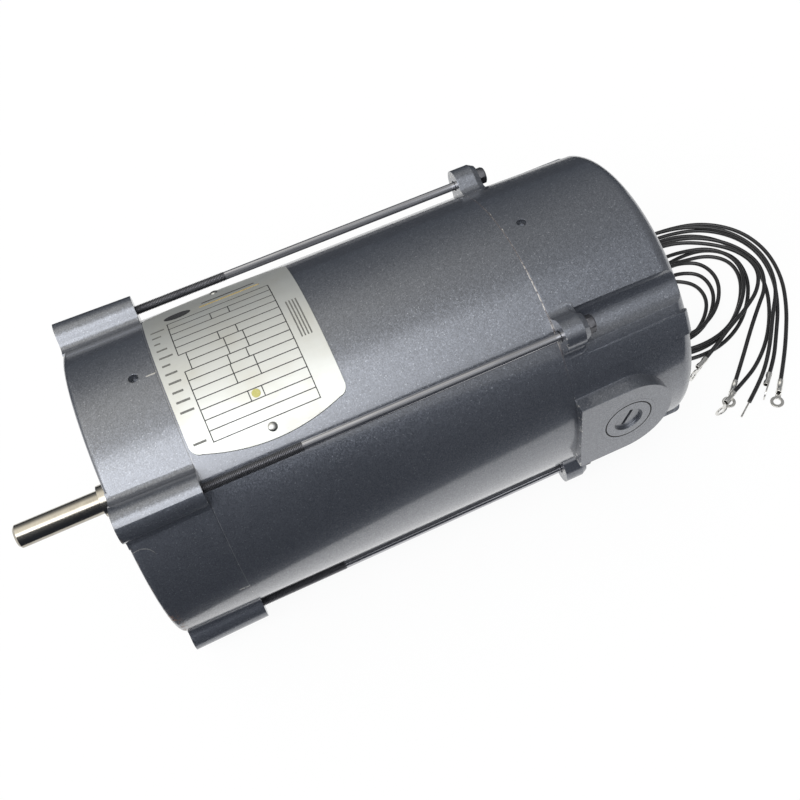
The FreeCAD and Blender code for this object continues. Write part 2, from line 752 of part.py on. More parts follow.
# Armature winding: coil sides in the slots, round end turns, tails down to the commutator risers
winding_body = new_body("winding_copper")
wire_outer = core_radius - winding_play * 5
wire_inner = slot_floor_radius + winding_play
end_turn_front = core_front + winding_front_reach
end_turn_rear = core_rear - winding_rear_reach
end_round = winding_front_reach / 2
revolve(winding_body, "front_end_turns", [
    (core_front + winding_play, winding_inner_radius),
    (end_turn_front - end_round, winding_inner_radius),
    (end_turn_front, winding_inner_radius + end_round),
    (end_turn_front, wire_outer - end_round, end_round, "left"),
    (end_turn_front - end_round, wire_outer),
    (core_front + winding_play, wire_outer),
])
coil_side = winding_body.newObject("PartDesign::Pad", "coil_side")
coil_side.Profile = outline(winding_body, "coil_side_section", "YZ_Plane", [
    (-(slot_width / 2 - winding_play), wire_inner),
    (slot_width / 2 - winding_play, wire_inner),
    (slot_width / 2 - winding_play, wire_outer),
    (-(slot_width / 2 - winding_play), wire_outer),
], core_front + winding_play * 2)
coil_side.Reversed = True
coil_side.setExpression("Length", (core_length + winding_play * 4).text)
around(winding_body, "coil_sides", coil_side, SLOT_COUNT)
revolve(winding_body, "rear_end_turns", [
    (core_rear - winding_play, winding_inner_radius),
    (core_rear - winding_play, wire_outer),
    (end_turn_rear, wire_outer),
    (riser_front + riser_width, riser_radius),
    (riser_front + winding_play, riser_radius),
    (riser_front + winding_play, commutator_radius),
    (riser_front + riser_width, commutator_radius),
    (end_turn_rear, winding_inner_radius),
])
keep("armature_winding", winding_body)

# Commutator: copper bars with risers, parted by thin gaps, on a moulded hub
BAR_COUNT = 24
bar_body = new_body("bar_ring")
revolve(bar_body, "bar_turned", [
    (riser_front, commutator_hub_radius),
    (riser_front, riser_radius),
    (riser_rear, riser_radius),
    (riser_rear, commutator_radius),
    (commutator_rear, commutator_radius),
    (commutator_rear, commutator_hub_radius),
])
bar_cuts = []
for index in range(BAR_COUNT // 2):
    turn = (index + 0.5) * 360 / BAR_COUNT
    bar_cuts.append(block("bar_cut_%d" % index,
                          (commutator_rear - overcut, -bar_gap / 2, -riser_radius - overcut),
                          (riser_front + overcut, bar_gap / 2, riser_radius + overcut), turn))
keep("commutator_bars", cut("commutator_bars", bar_body, bar_cuts))
keep("commutator_hub", tube("commutator_hub", riser_front, commutator_rear, commutator_hub_radius,
                            core_shaft_radius))

# Field core: laminated ring pressed in the shell, with a pole above and one below
pole_bore = core_radius + air_gap
shoe_outer = pole_bore + pole_shoe_thickness
ring_inner = shell_inner - field_ring_wall
SHOE_HALF_SWEEP = 62
field_pieces = [tube("field_ring", core_front, core_rear, shell_inner, ring_inner)]
for angle in (90, 270):
    shoe = sector("shoe_%d" % angle, core_front, core_rear, shoe_outer, angle - SHOE_HALF_SWEEP,
                  2 * SHOE_HALF_SWEEP)
    neck = block("pole_neck_%d" % angle, (core_rear, -pole_width / 2, pole_bore),
                 (core_front, pole_width / 2, ring_inner + field_ring_wall / 2), angle)
    field_pieces += [shoe, neck]
field_blank = fuse("field_blank", field_pieces)
field_bore = rod("field_bore", core_front + overcut, core_rear - overcut, pole_bore)
keep("field_core", cut("field_core", field_blank, [field_bore]))


# Field coils: a rounded rectangular loop of taped wire round each pole neck
def rounded_slab(name, half_length, half_width, low, high, radius, angle):
    middle = (core_front + core_rear) / 2
    pieces = [
        block(name + "_long", (middle - half_length, -(half_width - radius), low),
              (middle + half_length, half_width - radius, high), angle),
        block(name + "_wide", (middle - half_length + radius, -half_width, low),
              (middle + half_length - radius, half_width, high), angle)]
    for end in (-1, 1):
        for side in (-1, 1):
            post = doc.addObject("Part::Cylinder", "%s_corner_%d_%d" % (name, end + 1, side + 1))
            bind(post, Radius=radius, Height=high - low)
            y, z = turned(angle, (half_width - radius) * side, low)
            place(post, middle + (half_length - radius) * end, y, z, FreeCAD.Rotation(X_AXIS, angle - 90))
            pieces.append(post)
    return fuse(name, pieces)


coil_low = shoe_outer + coil_lift
hole_length = core_length / 2 + coil_clearance
hole_width = pole_width / 2 + coil_clearance
coil_edge = hole_width + coil_build
coil_high = (ring_inner * ring_inner - coil_edge * coil_edge).root() - coil_clearance
for label, angle in (("field_coil_top", 90), ("field_coil_bottom", 270)):
    loop = rounded_slab(label + "_loop", hole_length + coil_build, coil_edge, coil_low, coil_high,
                        coil_build, angle)
    window = block(label + "_window", (core_rear - coil_clearance, -hole_width, coil_low - overcut),
                   (core_front + coil_clearance, hole_width, coil_high + overcut), angle)
    keep(label, cut(label, loop, [window]))


# Brush gear, one set on each side: insulating sleeve, brass guide, carbon brush, spring, slotted cap
SPRING_TURNS = 6
CHORDS_PER_TURN = 10


def spring_solid(length):
    """Square wire wound along +Z in short chords, from the brush's back to the cap."""
    half = spring_wire.value / 2
    count = SPRING_TURNS * CHORDS_PER_TURN
    travel = length - spring_wire.value
    sections = []
    for index in range(count + 1):
        turn = index * 2 * math.pi / CHORDS_PER_TURN
        ray = Vector(math.cos(turn), math.sin(turn), 0)
        rise = Vector(0, 0, half + travel * index / count)
        lift = Vector(0, 0, half)
        inside = ray * (spring_radius.value - half) + rise
        outside = ray * (spring_radius.value + half) + rise
        sections.append((inside - lift, outside - lift, outside + lift, inside + lift))
    faces = [flat_face(sections[0]), flat_face(sections[-1])]
    for here, after in zip(sections, sections[1:]):
        for edge in range(4):
            near, far = here[edge], here[(edge + 1) % 4]
            ahead, beyond = after[edge], after[(edge + 1) % 4]
            faces.append(flat_face((near, far, beyond)))
            faces.append(flat_face((near, beyond, ahead)))
    solid = Part.Solid(Part.Shell(faces))
    return solid if solid.Volume > 0 else solid.reversed()


def flat_face(spots):
    return Part.Face(Part.makePolygon(list(spots) + [spots[0]]))


CAP_SLOT_LEAN = -27


def brush_gear(side, angle):
    guide_x = brush_axial / 2 + brush_play
    guide_z = brush_tangential / 2 + brush_play
    wall_x = guide_x + guide_wall
    wall_z = guide_z + guide_wall
    seat = boss_face - cap_height - slip_fit * 2
    shank = spoke(side + "_sleeve_shank", sleeve_inner_end, boss_face, sleeve_radius, angle, brush_x)
    flange = spoke(side + "_sleeve_flange", boss_face - sleeve_flange_height + slip_fit, boss_face,
                   sleeve_flange_radius, angle, brush_x)
    mouth_radius = cap_radius + slip_fit * 3
    mouth = spoke(side + "_sleeve_mouth", seat, boss_face + overcut, mouth_radius, angle, brush_x)
    window = block(side + "_sleeve_window", (brush_x - wall_x - slip_fit, -wall_z - slip_fit, 0),
                   (brush_x + wall_x + slip_fit, wall_z + slip_fit, boss_face), angle)
    sleeve = fuse(side + "_sleeve_blank", [shank, flange])
    keep("brush_sleeve_" + side, cut(side + "_sleeve", sleeve, [mouth, window]))

    guide_box = block(side + "_guide_box", (brush_x - wall_x, -wall_z, sleeve_inner_end - guide_wall),
                      (brush_x + wall_x, wall_z, seat), angle)
    guide_hole = block(side + "_guide_hole", (brush_x - guide_x, -guide_z, 0),
                       (brush_x + guide_x, guide_z, boss_face), angle)
    keep("brush_guide_" + side, cut(side + "_guide", guide_box, [guide_hole]))

    brush_back = commutator_radius + brush_gap + brush_length
    brush_block = block(side + "_brush_block", (brush_x - brush_axial / 2, -brush_tangential / 2, 0),
                        (brush_x + brush_axial / 2, brush_tangential / 2, brush_back), angle)
    brush_seat = rod(side + "_brush_seat", brush_x + brush_axial, brush_x - brush_axial,
                     commutator_radius + brush_gap)
    brush_half = block(side + "_brush_half", (brush_x - brush_axial, -brush_axial, 0),
                       (brush_x + brush_axial, brush_axial, brush_back + overcut), angle)
    brush_body = cut(side + "_brush_body", brush_block, [brush_seat])
    keep("brush_" + side, common(side + "_brush", [brush_body, brush_half]))

    spring = doc.addObject("Part::Feature", side + "_spring")
    spring.Shape = spring_solid((seat - brush_back - slip_fit * 2).value)
    y, z = turned(angle, 0, brush_back + slip_fit)
    place(spring, brush_x, y, z, FreeCAD.Rotation(X_AXIS, angle - 90))
    keep("brush_spring_" + side, spring)

    disc = spoke(side + "_cap_disc", boss_face - cap_height, boss_face, cap_radius, angle, brush_x)
    recess = spoke(side + "_cap_recess", boss_face - cap_recess_depth, boss_face + overcut, cap_recess_radius,
                   angle, brush_x)
    slot_low = boss_face - cap_recess_depth - cap_slot_depth
    slot_x, slot_across = turned(CAP_SLOT_LEAN, -cap_slot_length / 2, -cap_slot_width / 2)
    driver_slot = doc.addObject("Part::Box", side + "_cap_slot")
    bind(driver_slot, Length=cap_slot_width, Width=cap_slot_length, Height=boss_face + overcut - slot_low)
    y, z = turned(angle, -slot_across, slot_low)
    slot_turn = FreeCAD.Rotation(X_AXIS, angle - 90) * FreeCAD.Rotation(Z_AXIS, CAP_SLOT_LEAN)
    place(driver_slot, brush_x + slot_x, y, z, slot_turn)
    keep("brush_cap_" + side, cut(side + "_cap", disc, [recess, driver_slot]))


brush_gear("near", 0)
brush_gear("far", 180)

# Grommet in the rear wall, through which the leads come out
grommet_in = bore_floor + grommet_flange
grommet_out = rear_end - grommet_flange
grommet_bore = bundle_radius + lead_radius + grommet_bore_play
grommet = fuse("grommet_blank", [
    rod("grommet_neck", grommet_in, grommet_out, grommet_neck_radius, grommet_y, grommet_z),
    rod("grommet_inner_flange", grommet_in, bore_floor + slip_fit, grommet_flange_radius,
        grommet_y, grommet_z),
    rod("grommet_outer_flange", rear_end - slip_fit, grommet_out, grommet_flange_radius,
        grommet_y, grommet_z)])
grommet_hole = rod("grommet_hole", grommet_in + overcut, grommet_out - overcut, grommet_bore,
                   grommet_y, grommet_z)
keep("lead_grommet", cut("lead_grommet", grommet, [grommet_hole]))

# Leads: limp stranded wires that leave the grommet, drop to the table and lie there in loose turns.
# The route of each is chosen by hand; the three heights let the wires lie on and over each other.
ON_TABLE = -76.4
ON_ONE_WIRE = -73.5
ON_TWO_WIRES = -70.6
LEAD_ROUTES = {
    "lead_1": [
        (-285, -28, -41.1), (-303, -28, -41.2), (-322, -30, -45.5), (-340, -36, -54.5), (-357, -44, -64),
        (-372, -49.5, -69.8), (-386, -42, ON_TWO_WIRES), (-388, -25, ON_TWO_WIRES), (-378, -9, ON_TWO_WIRES),
        (-361, 1, ON_TWO_WIRES), (-342, 5.5, ON_TWO_WIRES), (-322, 0, ON_TWO_WIRES),
        (-309.5, -14, ON_TWO_WIRES), (-308, -34, ON_TWO_WIRES), (-318, -52, ON_TWO_WIRES),
        (-336, -64, ON_TWO_WIRES), (-357, -69, ON_TWO_WIRES), (-379, -67, ON_TWO_WIRES),
        (-398, -57, ON_TWO_WIRES), (-411.5, -41, ON_TWO_WIRES), (-415, -22, ON_TWO_WIRES),
        (-405, -5, ON_TWO_WIRES), (-388, 5, ON_TWO_WIRES), (-371, 12, -71), (-357, 18.5, -72.6),
        (-346.5, 22.5, -73.6)],
    "lead_2": [
        (-285, -25.5, -42.55), (-303, -25, -43), (-320.5, -27.5, -48.5), (-337, -33, -58.5),
        (-354, -40, -68.5), (-370, -44.5, -73), (-382, -36, ON_ONE_WIRE), (-381, -19, ON_ONE_WIRE),
        (-369, -4.5, ON_ONE_WIRE), (-352, 4.5, ON_ONE_WIRE), (-333, 6, ON_ONE_WIRE),
        (-315, -0.5, ON_ONE_WIRE), (-305, -17, ON_ONE_WIRE), (-305.5, -37, ON_ONE_WIRE),
        (-315.5, -54, ON_ONE_WIRE), (-333, -66.5, ON_ONE_WIRE), (-355, -73, ON_ONE_WIRE),
        (-378, -73, ON_ONE_WIRE), (-399, -66, ON_ONE_WIRE), (-414, -49, ON_ONE_WIRE),
        (-419.5, -27, ON_ONE_WIRE), (-412, -7, ON_ONE_WIRE), (-398, 6, ON_ONE_WIRE), (-382, 19, -74),
        (-366, 33, -75.4), (-353, 44.5, -76)],
    "lead_3": [
        (-285, -25.5, -45.45), (-303, -25.5, -46), (-320, -29, -53), (-336, -36, -64), (-351, -42, -73),
        (-366, -42, ON_TABLE), (-376, -32, ON_TABLE), (-375, -17, ON_TABLE), (-363, -4, ON_TABLE),
        (-346, 3.5, ON_TABLE), (-328, 2.5, ON_TABLE), (-313, -6, ON_TABLE), (-306.5, -24, ON_TABLE),
        (-309, -44, ON_TABLE), (-321, -60, ON_TABLE), (-340, -71, ON_TABLE), (-362, -77, ON_TABLE),
        (-384, -77, ON_TABLE), (-402, -69, ON_TABLE), (-414.5, -52, ON_TABLE), (-418.5, -31, ON_TABLE),
        (-414, -9, ON_TABLE), (-402.5, 11, ON_TABLE), (-388, 28, ON_TABLE), (-371, 41, ON_TABLE),
        (-357, 48, -75.4), (-346.5, 52.5, -73.4)],
    "lead_4": [
        (-285, -30.5, -42.55), (-305, -32, -43.5), (-324, -39, -49.5), (-342, -49, -59),
        (-360, -57.5, -69), (-382, -60, ON_ONE_WIRE), (-401, -53, ON_ONE_WIRE), (-409, -36, ON_ONE_WIRE),
        (-403, -17, ON_ONE_WIRE), (-389, -1, ON_ONE_WIRE), (-370, 10.5, ON_ONE_WIRE),
        (-348, 14, ON_ONE_WIRE), (-326, 10.5, ON_ONE_WIRE), (-307.5, -1, ON_ONE_WIRE),
        (-298.5, -21, ON_ONE_WIRE), (-301.5, -44, ON_ONE_WIRE), (-314.5, -64, ON_ONE_WIRE),
        (-335, -79, ON_ONE_WIRE), (-361, -86.5, ON_ONE_WIRE), (-389, -84.5, ON_ONE_WIRE),
        (-411, -72, ON_ONE_WIRE), (-424, -51, ON_ONE_WIRE), (-425.5, -26, ON_ONE_WIRE),
        (-417, -2, ON_ONE_WIRE), (-401, 15, ON_ONE_WIRE), (-387, 31.5, ON_ONE_WIRE), (-374.5, 44.5, -75.2),
        (-362, 54, -76.3), (-351, 61.5, -76.1)],
    "lead_5": [
        (-285, -30.5, -45.45), (-304, -31, -46), (-322, -37, -51.5), (-340, -46, -61.5),
        (-358, -52.5, -71), (-378, -54, -76), (-396, -51, ON_TABLE), (-406, -40, ON_TABLE),
        (-404.5, -24, ON_TABLE), (-393, -6.5, ON_TABLE), (-376, 7, ON_TABLE), (-356, 14.5, ON_TABLE),
        (-334, 13.5, ON_TABLE), (-315, 5.5, ON_TABLE), (-302, -11, ON_TABLE), (-300, -34, ON_TABLE),
        (-309.5, -55.5, ON_TABLE), (-328, -72, ON_TABLE), (-353, -81, ON_TABLE), (-380, -83.5, ON_TABLE),
        (-404, -77, ON_TABLE), (-420.5, -60, ON_TABLE), (-426.5, -37, ON_TABLE), (-422, -13, ON_TABLE),
        (-410, 9, ON_TABLE), (-394.5, 28, ON_TABLE), (-382, 43, -75.3), (-372.5, 51.5, -73.6)],
    "lead_6": [
        (-285, -28, -46.9), (-304, -28.5, -47.5), (-322, -33, -55), (-338, -42, -66), (-355, -52, -74.3),
        (-376, -59, ON_TABLE), (-398, -57, ON_TABLE), (-411, -43, ON_TABLE), (-409, -23, ON_TABLE),
        (-397, -4, ON_TABLE), (-379, 11, ON_TABLE), (-357, 19, ON_TABLE), (-333, 18, ON_TABLE),
        (-311, 9, ON_TABLE), (-297.5, -10, ON_TABLE), (-296, -35, ON_TABLE), (-306, -58, ON_TABLE),
        (-326, -76, ON_TABLE), (-352, -86, ON_TABLE), (-381, -89, ON_TABLE), (-408, -82, ON_TABLE),
        (-426, -63, ON_TABLE), (-432, -38, ON_TABLE), (-427, -12, ON_TABLE), (-414, 11, ON_TABLE),
        (-398, 32, ON_TABLE), (-385, 47, ON_TABLE), (-376, 57, -76.05)],
}
RUN_SHARE = 0.45


def cord_path(route):
    """Straight runs joined by tangent arcs, each arc as large as its two runs allow."""
    edges = []
    radii = []
    start = route[0]
    for before, corner, after in zip(route, route[1:], route[2:]):
        back = before - corner
        ahead = after - corner
        trim = RUN_SHARE * min(back.Length, ahead.Length)
        turn = math.pi - back.getAngle(ahead)
        radius = trim / math.tan(turn / 2)
        back.normalize()
        ahead.normalize()
        bisector = (back + ahead).normalize()
        middle = corner + bisector * (radius / math.cos(turn / 2) - radius)
        edges.append(Part.LineSegment(start, corner + back * trim).toShape())
        edges.append(Part.Arc(corner + back * trim, middle, corner + ahead * trim).toShape())
        radii.append(radius)
        start = corner + ahead * trim
    edges.append(Part.LineSegment(start, route[-1]).toShape())
    return Part.Wire(edges), radii


for label, points in LEAD_ROUTES.items():
    route = [Vector(*point) for point in points]
    path, radii = cord_path(route)
    circle = Part.Circle(route[0], route[1] - route[0], lead_radius.value)
    lead = doc.addObject("Part::Feature", label)
    lead.Shape = path.makePipeShell([Part.Wire([circle.toShape()])], True, False)
    section_volume = math.pi * lead_radius.value ** 2 * path.Length
    print("%s: %.0f mm long, volume ratio %.4f, radii %s" % (
        label, path.Length, lead.Shape.Volume / section_volume, " ".join("%.0f" % r for r in radii)))
    keep(label, lead)


# Ring terminals crimped on the leads; a roll turns the ring about its lead
TERMINAL_ROLLS = {"lead_1": 90, "lead_2": 0, "lead_3": 50, "lead_5": 90, "lead_6": 0}


def lead_end_frame(label, roll=0):
    """Placement at a lead's free end, with X along the lead."""
    before, tip = [Vector(*point) for point in LEAD_ROUTES[label][-2:]]
    heading = math.degrees(math.atan2(tip.y - before.y, tip.x - before.x))
    spin = FreeCAD.Rotation(Vector(0, 0, 1), heading) * FreeCAD.Rotation(X_AXIS, roll)
    return FreeCAD.Placement(tip, spin)


def at_lead_end(kind, name, frame, spot, rotation=FreeCAD.Rotation(), **sizes):
    """Primitive in a lead-end frame, with its own place there given by three sizes."""
    obj = doc.addObject(kind, name)
    bind(obj, **sizes)
    base = Vector(*[as_size(length).value for length in spot])
    obj.Placement = frame * FreeCAD.Placement(base, rotation)
    return obj


ring_centre = barrel_length + tongue_length + ring_radius * 0.6
for label, roll in TERMINAL_ROLLS.items():
    frame = lead_end_frame(label, roll)
    barrel = at_lead_end("Part::Cylinder", label + "_barrel", frame, (0, 0, 0), ALONG_X,
                         Radius=barrel_radius, Height=barrel_length)
    tongue = at_lead_end("Part::Box", label + "_tongue", frame,
                         (barrel_length / 2, -tongue_half_width, -barrel_radius),
                         Length=ring_centre - barrel_length / 2, Width=tongue_half_width * 2,
                         Height=ring_thickness)
    ring = at_lead_end("Part::Cylinder", label + "_ring", frame, (ring_centre, 0, -barrel_radius),
                       Radius=ring_radius, Height=ring_thickness)
    stud_hole = at_lead_end("Part::Cylinder", label + "_stud_hole", frame,
                            (ring_centre, 0, -barrel_radius - overcut),
                            Radius=ring_hole_radius, Height=ring_thickness + overcut * 2)
    blank = fuse(label + "_terminal_blank", [barrel, tongue, ring])
    keep(label + "_terminal", cut(label + "_terminal", blank, [stud_hole]))

# The fourth lead ends in bare twisted strands
keep("lead_4_strands", at_lead_end("Part::Cylinder", "lead_4_strands", lead_end_frame("lead_4"), (0, 0, 0),
                                   ALONG_X, Radius=strand_radius, Height=strand_length))

doc.recompute()
for obj in doc.Objects:
    bad_states = {"Invalid", "Error"} & set(obj.State)
    if bad_states:
        raise RuntimeError("%s failed: %s" % (obj.Label, ", ".join(obj.State)))
for label, obj in parts.items():
    if obj.Shape.isNull() or not obj.Shape.isValid():
        raise RuntimeError("%s has no valid shape" % label)

os.makedirs("parts", exist_ok=True)
for label, obj in parts.items():
    obj.Shape.exportStep("parts/%s.step" % label)
    print("%-28s %2d solids %12.1f mm3" % (label, len(obj.Shape.Solids), obj.Shape.Volume))
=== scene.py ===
import math

import bpy
from mathutils import Euler, Matrix, Vector


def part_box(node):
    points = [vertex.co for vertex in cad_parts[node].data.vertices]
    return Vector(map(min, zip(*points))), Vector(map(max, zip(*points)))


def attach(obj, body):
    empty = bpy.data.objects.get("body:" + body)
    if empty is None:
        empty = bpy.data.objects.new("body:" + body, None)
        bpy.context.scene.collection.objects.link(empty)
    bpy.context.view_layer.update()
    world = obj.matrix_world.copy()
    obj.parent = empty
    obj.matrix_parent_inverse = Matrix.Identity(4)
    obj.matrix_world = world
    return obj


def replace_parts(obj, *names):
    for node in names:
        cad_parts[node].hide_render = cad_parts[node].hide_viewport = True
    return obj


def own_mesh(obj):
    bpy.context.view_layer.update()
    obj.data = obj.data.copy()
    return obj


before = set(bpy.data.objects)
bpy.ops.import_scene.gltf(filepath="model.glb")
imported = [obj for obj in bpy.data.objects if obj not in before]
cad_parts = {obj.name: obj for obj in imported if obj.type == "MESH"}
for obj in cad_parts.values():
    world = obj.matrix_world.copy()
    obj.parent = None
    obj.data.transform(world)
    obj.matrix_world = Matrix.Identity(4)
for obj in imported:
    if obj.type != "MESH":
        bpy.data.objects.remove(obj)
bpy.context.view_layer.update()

# Drive-end bell: an aluminium casting with four bolt lugs that carries the front bearing.
# It is bolted to the shell and sprayed with the same grey metallic enamel as the whole casing.


class Link:
    """A shader output. Sums and products of links and numbers add Math nodes."""

    def __init__(self, finish, socket):
        self.finish = finish
        self.socket = socket

    def out(self, name):
        """Another output of the same node."""
        return Link(self.finish, pick(self.socket.node.outputs, name))

    def maths(self, operation, *values):
        return self.finish.node("ShaderNodeMath", {"operation": operation}, dict(enumerate(values)))

    def __add__(self, other):
        return self.maths("ADD", self, other)

    def __radd__(self, other):
        return self.maths("ADD", other, self)

    def __sub__(self, other):
        return self.maths("SUBTRACT", self, other)

    def __rsub__(self, other):
        return self.maths("SUBTRACT", other, self)

    def __mul__(self, other):
        return self.maths("MULTIPLY", self, other)

    def __rmul__(self, other):
        return self.maths("MULTIPLY", other, self)

    def __abs__(self):
        return self.maths("ABSOLUTE", self)

    def rise(self, low, high):
        """Smooth step from 0 at low to 1 at high; low may lie above high."""
        span = {"Value": self, "From Min": low, "From Max": high}
        return self.finish.node("ShaderNodeMapRange", {"interpolation_type": "SMOOTHSTEP"}, span)

    def near(self, middle, reach):
        """1 at the middle, falling to 0 at the reach on either side."""
        return abs(self - middle).rise(reach, reach * 0.4)


def pick(sockets, name):
    """An enabled socket by its name, or by its number."""
    if isinstance(name, int):
        return sockets[name]
    return next(socket for socket in sockets if socket.enabled and socket.name == name)


class Finish:
    """A material or world in the making. Place is the surface point in metres, in the part's frame."""

    def __init__(self, name, makes=bpy.data.materials):
        self.material = makes.new(name)
        self.material.use_nodes = True
        self.tree = self.material.node_tree
        self.tree.nodes.clear()
        self.place = self.node("ShaderNodeTexCoord", {}, {}, "Object")

    def node(self, kind, settings, sockets, output=None):
        """A node of a kind, with its settings made first and then its sockets, by value or link."""
        made = self.tree.nodes.new(kind)
        for name, value in settings.items():
            setattr(made, name, value)
        for name, value in sockets.items():
            socket = pick(made.inputs, name)
            if isinstance(value, Link):
                self.tree.links.new(value.socket, socket)
            else:
                socket.default_value = value
        if not made.outputs:
            return None
        if output is None:
            output = next(socket.name for socket in made.outputs if socket.enabled)
        return Link(self, pick(made.outputs, output))

    def vector(self, operation, first, second=(0, 0, 0), scale=1.0):
        sockets = {0: first, 1: second}
        if operation == "SCALE":
            sockets = {0: first, "Scale": scale}
        output = "Value" if operation == "DOT_PRODUCT" else "Vector"
        return self.node("ShaderNodeVectorMath", {"operation": operation}, sockets, output)

    def mix(self, factor, first, second):
        """Colour from the first to the second as the factor goes from 0 to 1."""
        sockets = {"Factor": factor, "A": opaque(first), "B": opaque(second)}
        return self.node("ShaderNodeMix", {"data_type": "RGBA"}, sockets)

    def split(self, vector):
        parts = self.node("ShaderNodeSeparateXYZ", {}, {0: vector})
        return parts.out("X"), parts.out("Y"), parts.out("Z")

    def noise(self, size, detail=2.0, stretch=(1, 1, 1)):
        """Cloudy noise with patches about the given size in metres, squeezed along axes by stretch."""
        place = self.place
        if stretch != (1, 1, 1):
            place = self.vector("MULTIPLY", place, stretch)
        sockets = {"Vector": place, "Scale": 1 / size, "Detail": detail}
        return self.node("ShaderNodeTexNoise", {}, sockets, "Fac")

    def cells(self, size):
        """A random colour for each grain of the given size in metres."""
        return self.node("ShaderNodeTexVoronoi", {}, {"Vector": self.place, "Scale": 1 / size}, "Color")

    def rounded(self, radius):
        """Surface normal with every sharp edge eased to a radius in metres."""
        return self.node("ShaderNodeBevel", {"samples": 6}, {"Radius": radius})

    def bump(self, height, depth, normal):
        """Surface normal with relief: the height runs from 0 to 1 over a depth in metres."""
        sockets = {"Height": height, "Distance": depth, "Strength": 1.0, "Normal": normal}
        return self.node("ShaderNodeBump", {}, sockets)

    def close(self, **sockets):
        """Ends the material in one Principled surface; words of a socket's name are joined by _."""
        named = {name.replace("_", " "): value for name, value in sockets.items()}
        named = {name: opaque(value) if "Color" in name else value for name, value in named.items()}
        surface = self.node("ShaderNodeBsdfPrincipled", {}, named)
        self.node("ShaderNodeOutputMaterial", {}, {"Surface": surface})
        return self.material


def opaque(colour):
    return colour if isinstance(colour, Link) else (*colour, 1.0)


shell_low, shell_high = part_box("yoke_shell")
SEAM_FRONT = shell_high.x
SEAM_REAR = shell_low.x
FRAME_RADIUS = shell_high.z
ENAMEL_DARK = (0.08, 0.088, 0.106)
ENAMEL_LIGHT = (0.148, 0.159, 0.184)
BARE_ALUMINIUM = (0.62, 0.61, 0.58)
# Brown of the rubbed bell rim; the same colour makes the painted shade line in the shell's rear seam.
RUST_AND_SEAM_SHADE = (0.21, 0.105, 0.05)
PALE_DUST = (0.5, 0.5, 0.48)
FLAKE = 0.00045
FLAKE_TILT = 0.17
FLAKE_GLINT = (0.33, 0.345, 0.37)
PEEL = 0.0025
PEEL_DEPTH = 0.00003
PAINTED_EDGE = 0.0007
CHIPPED_EDGE = 0.0011


def enamel(name, wear_and_painted_light):
    """Grey metallic enamel with sparkling flakes; the given function of (finish, edge) says where the
    paint is gone, where it is stained, and where painted highlight and shade lines lie on it, and gives
    their colour.
    """
    finish = Finish(name)
    eased = finish.rounded(PAINTED_EDGE)
    flakes = finish.cells(FLAKE)
    sparkle, tone, gloss = finish.split(flakes)
    lean = finish.vector("SUBTRACT", flakes, (0.5, 0.5, 0.5))
    tilt = finish.vector("SCALE", lean, scale=FLAKE_TILT)
    peel = finish.bump(finish.noise(PEEL), PEEL_DEPTH, eased)
    normal = finish.vector("NORMALIZE", finish.vector("ADD", peel, tilt))
    clouds = finish.noise(0.05, 3)
    paint = finish.mix(tone * 0.75 + clouds * 0.3, ENAMEL_DARK, ENAMEL_LIGHT)
    dust = finish.noise(0.0016).rise(0.74, 0.8) * finish.noise(0.02).rise(0.5, 0.65)
    paint = finish.mix(sparkle.rise(0.96, 1.0) * 0.4, paint, FLAKE_GLINT)
    paint = finish.mix(dust * 0.5, paint, PALE_DUST)
    plain = finish.node("ShaderNodeNewGeometry", {}, {}, "Normal")
    edge = 1 - finish.vector("DOT_PRODUCT", finish.rounded(CHIPPED_EDGE), plain)
    # Besides real wear and stains, these masks carry painted light: a highlight line and a shade line
    # at the shell seams, and a shade ring at the brush caps. The third value is the colour taken there.
    bare_and_painted_light, stain_and_seam_shade, metal = wear_and_painted_light(finish, edge)
    colour = finish.mix(bare_and_painted_light, paint, metal)
    colour = finish.mix(stain_and_seam_shade, colour, RUST_AND_SEAM_SHADE)
    return finish.close(
        Base_Color=colour,
        Metallic=0.78 + bare_and_painted_light * 0.2 - stain_and_seam_shade * 0.5,
        Roughness=0.33 + gloss * 0.1 + clouds * 0.05 + stain_and_seam_shade * 0.3,
        Coat_Weight=0.9 - bare_and_painted_light * 0.9 - stain_and_seam_shade * 0.6,
        Coat_Roughness=0.14,
        Coat_IOR=1.9,
        Normal=normal,
    )


def dress(material, *nodes):
    """Gives CAD nodes a material."""
    for node in nodes:
        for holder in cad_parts[node].material_slots:
            holder.material = material


def around(finish):
    """Angle about the shaft, from the near side up over the top, in degrees."""
    across, up = finish.split(finish.place)[1:]
    return finish.node("ShaderNodeMath", {"operation": "ARCTAN2"}, {0: up, 1: across}) * math.degrees(1)


def scratch(finish, x, angle, length, width):
    """A short pale scratch along the shaft direction."""
    along = finish.split(finish.place)[0]
    narrow = math.degrees(width / FRAME_RADIUS)
    return along.near(x, length * 0.7) * around(finish).near(angle, narrow)


RING_MARK = (-0.0035, 29, 0.0062)
RING_MARK_WIDTH = 0.0006
TOP_SCRATCH = (-0.0385, 88.6, 0.006, 0.0005)
SIDE_SCRATCH = (-0.0375, -3, 0.005, 0.0009)
RIM_DEPTH = 0.0022


def ring_mark(finish):
    """Where something round once rubbed the front rim: a pale arc, strongest at its top."""
    x, angle, radius = RING_MARK
    lean = math.radians(angle)
    middle = (x, FRAME_RADIUS * math.cos(lean), FRAME_RADIUS * math.sin(lean))
    apart = finish.vector("SUBTRACT", finish.place, middle)
    ring = finish.vector("DOT_PRODUCT", apart, apart).near(radius ** 2, RING_MARK_WIDTH * radius)
    return ring * around(finish).rise(angle - 2, angle + 4)


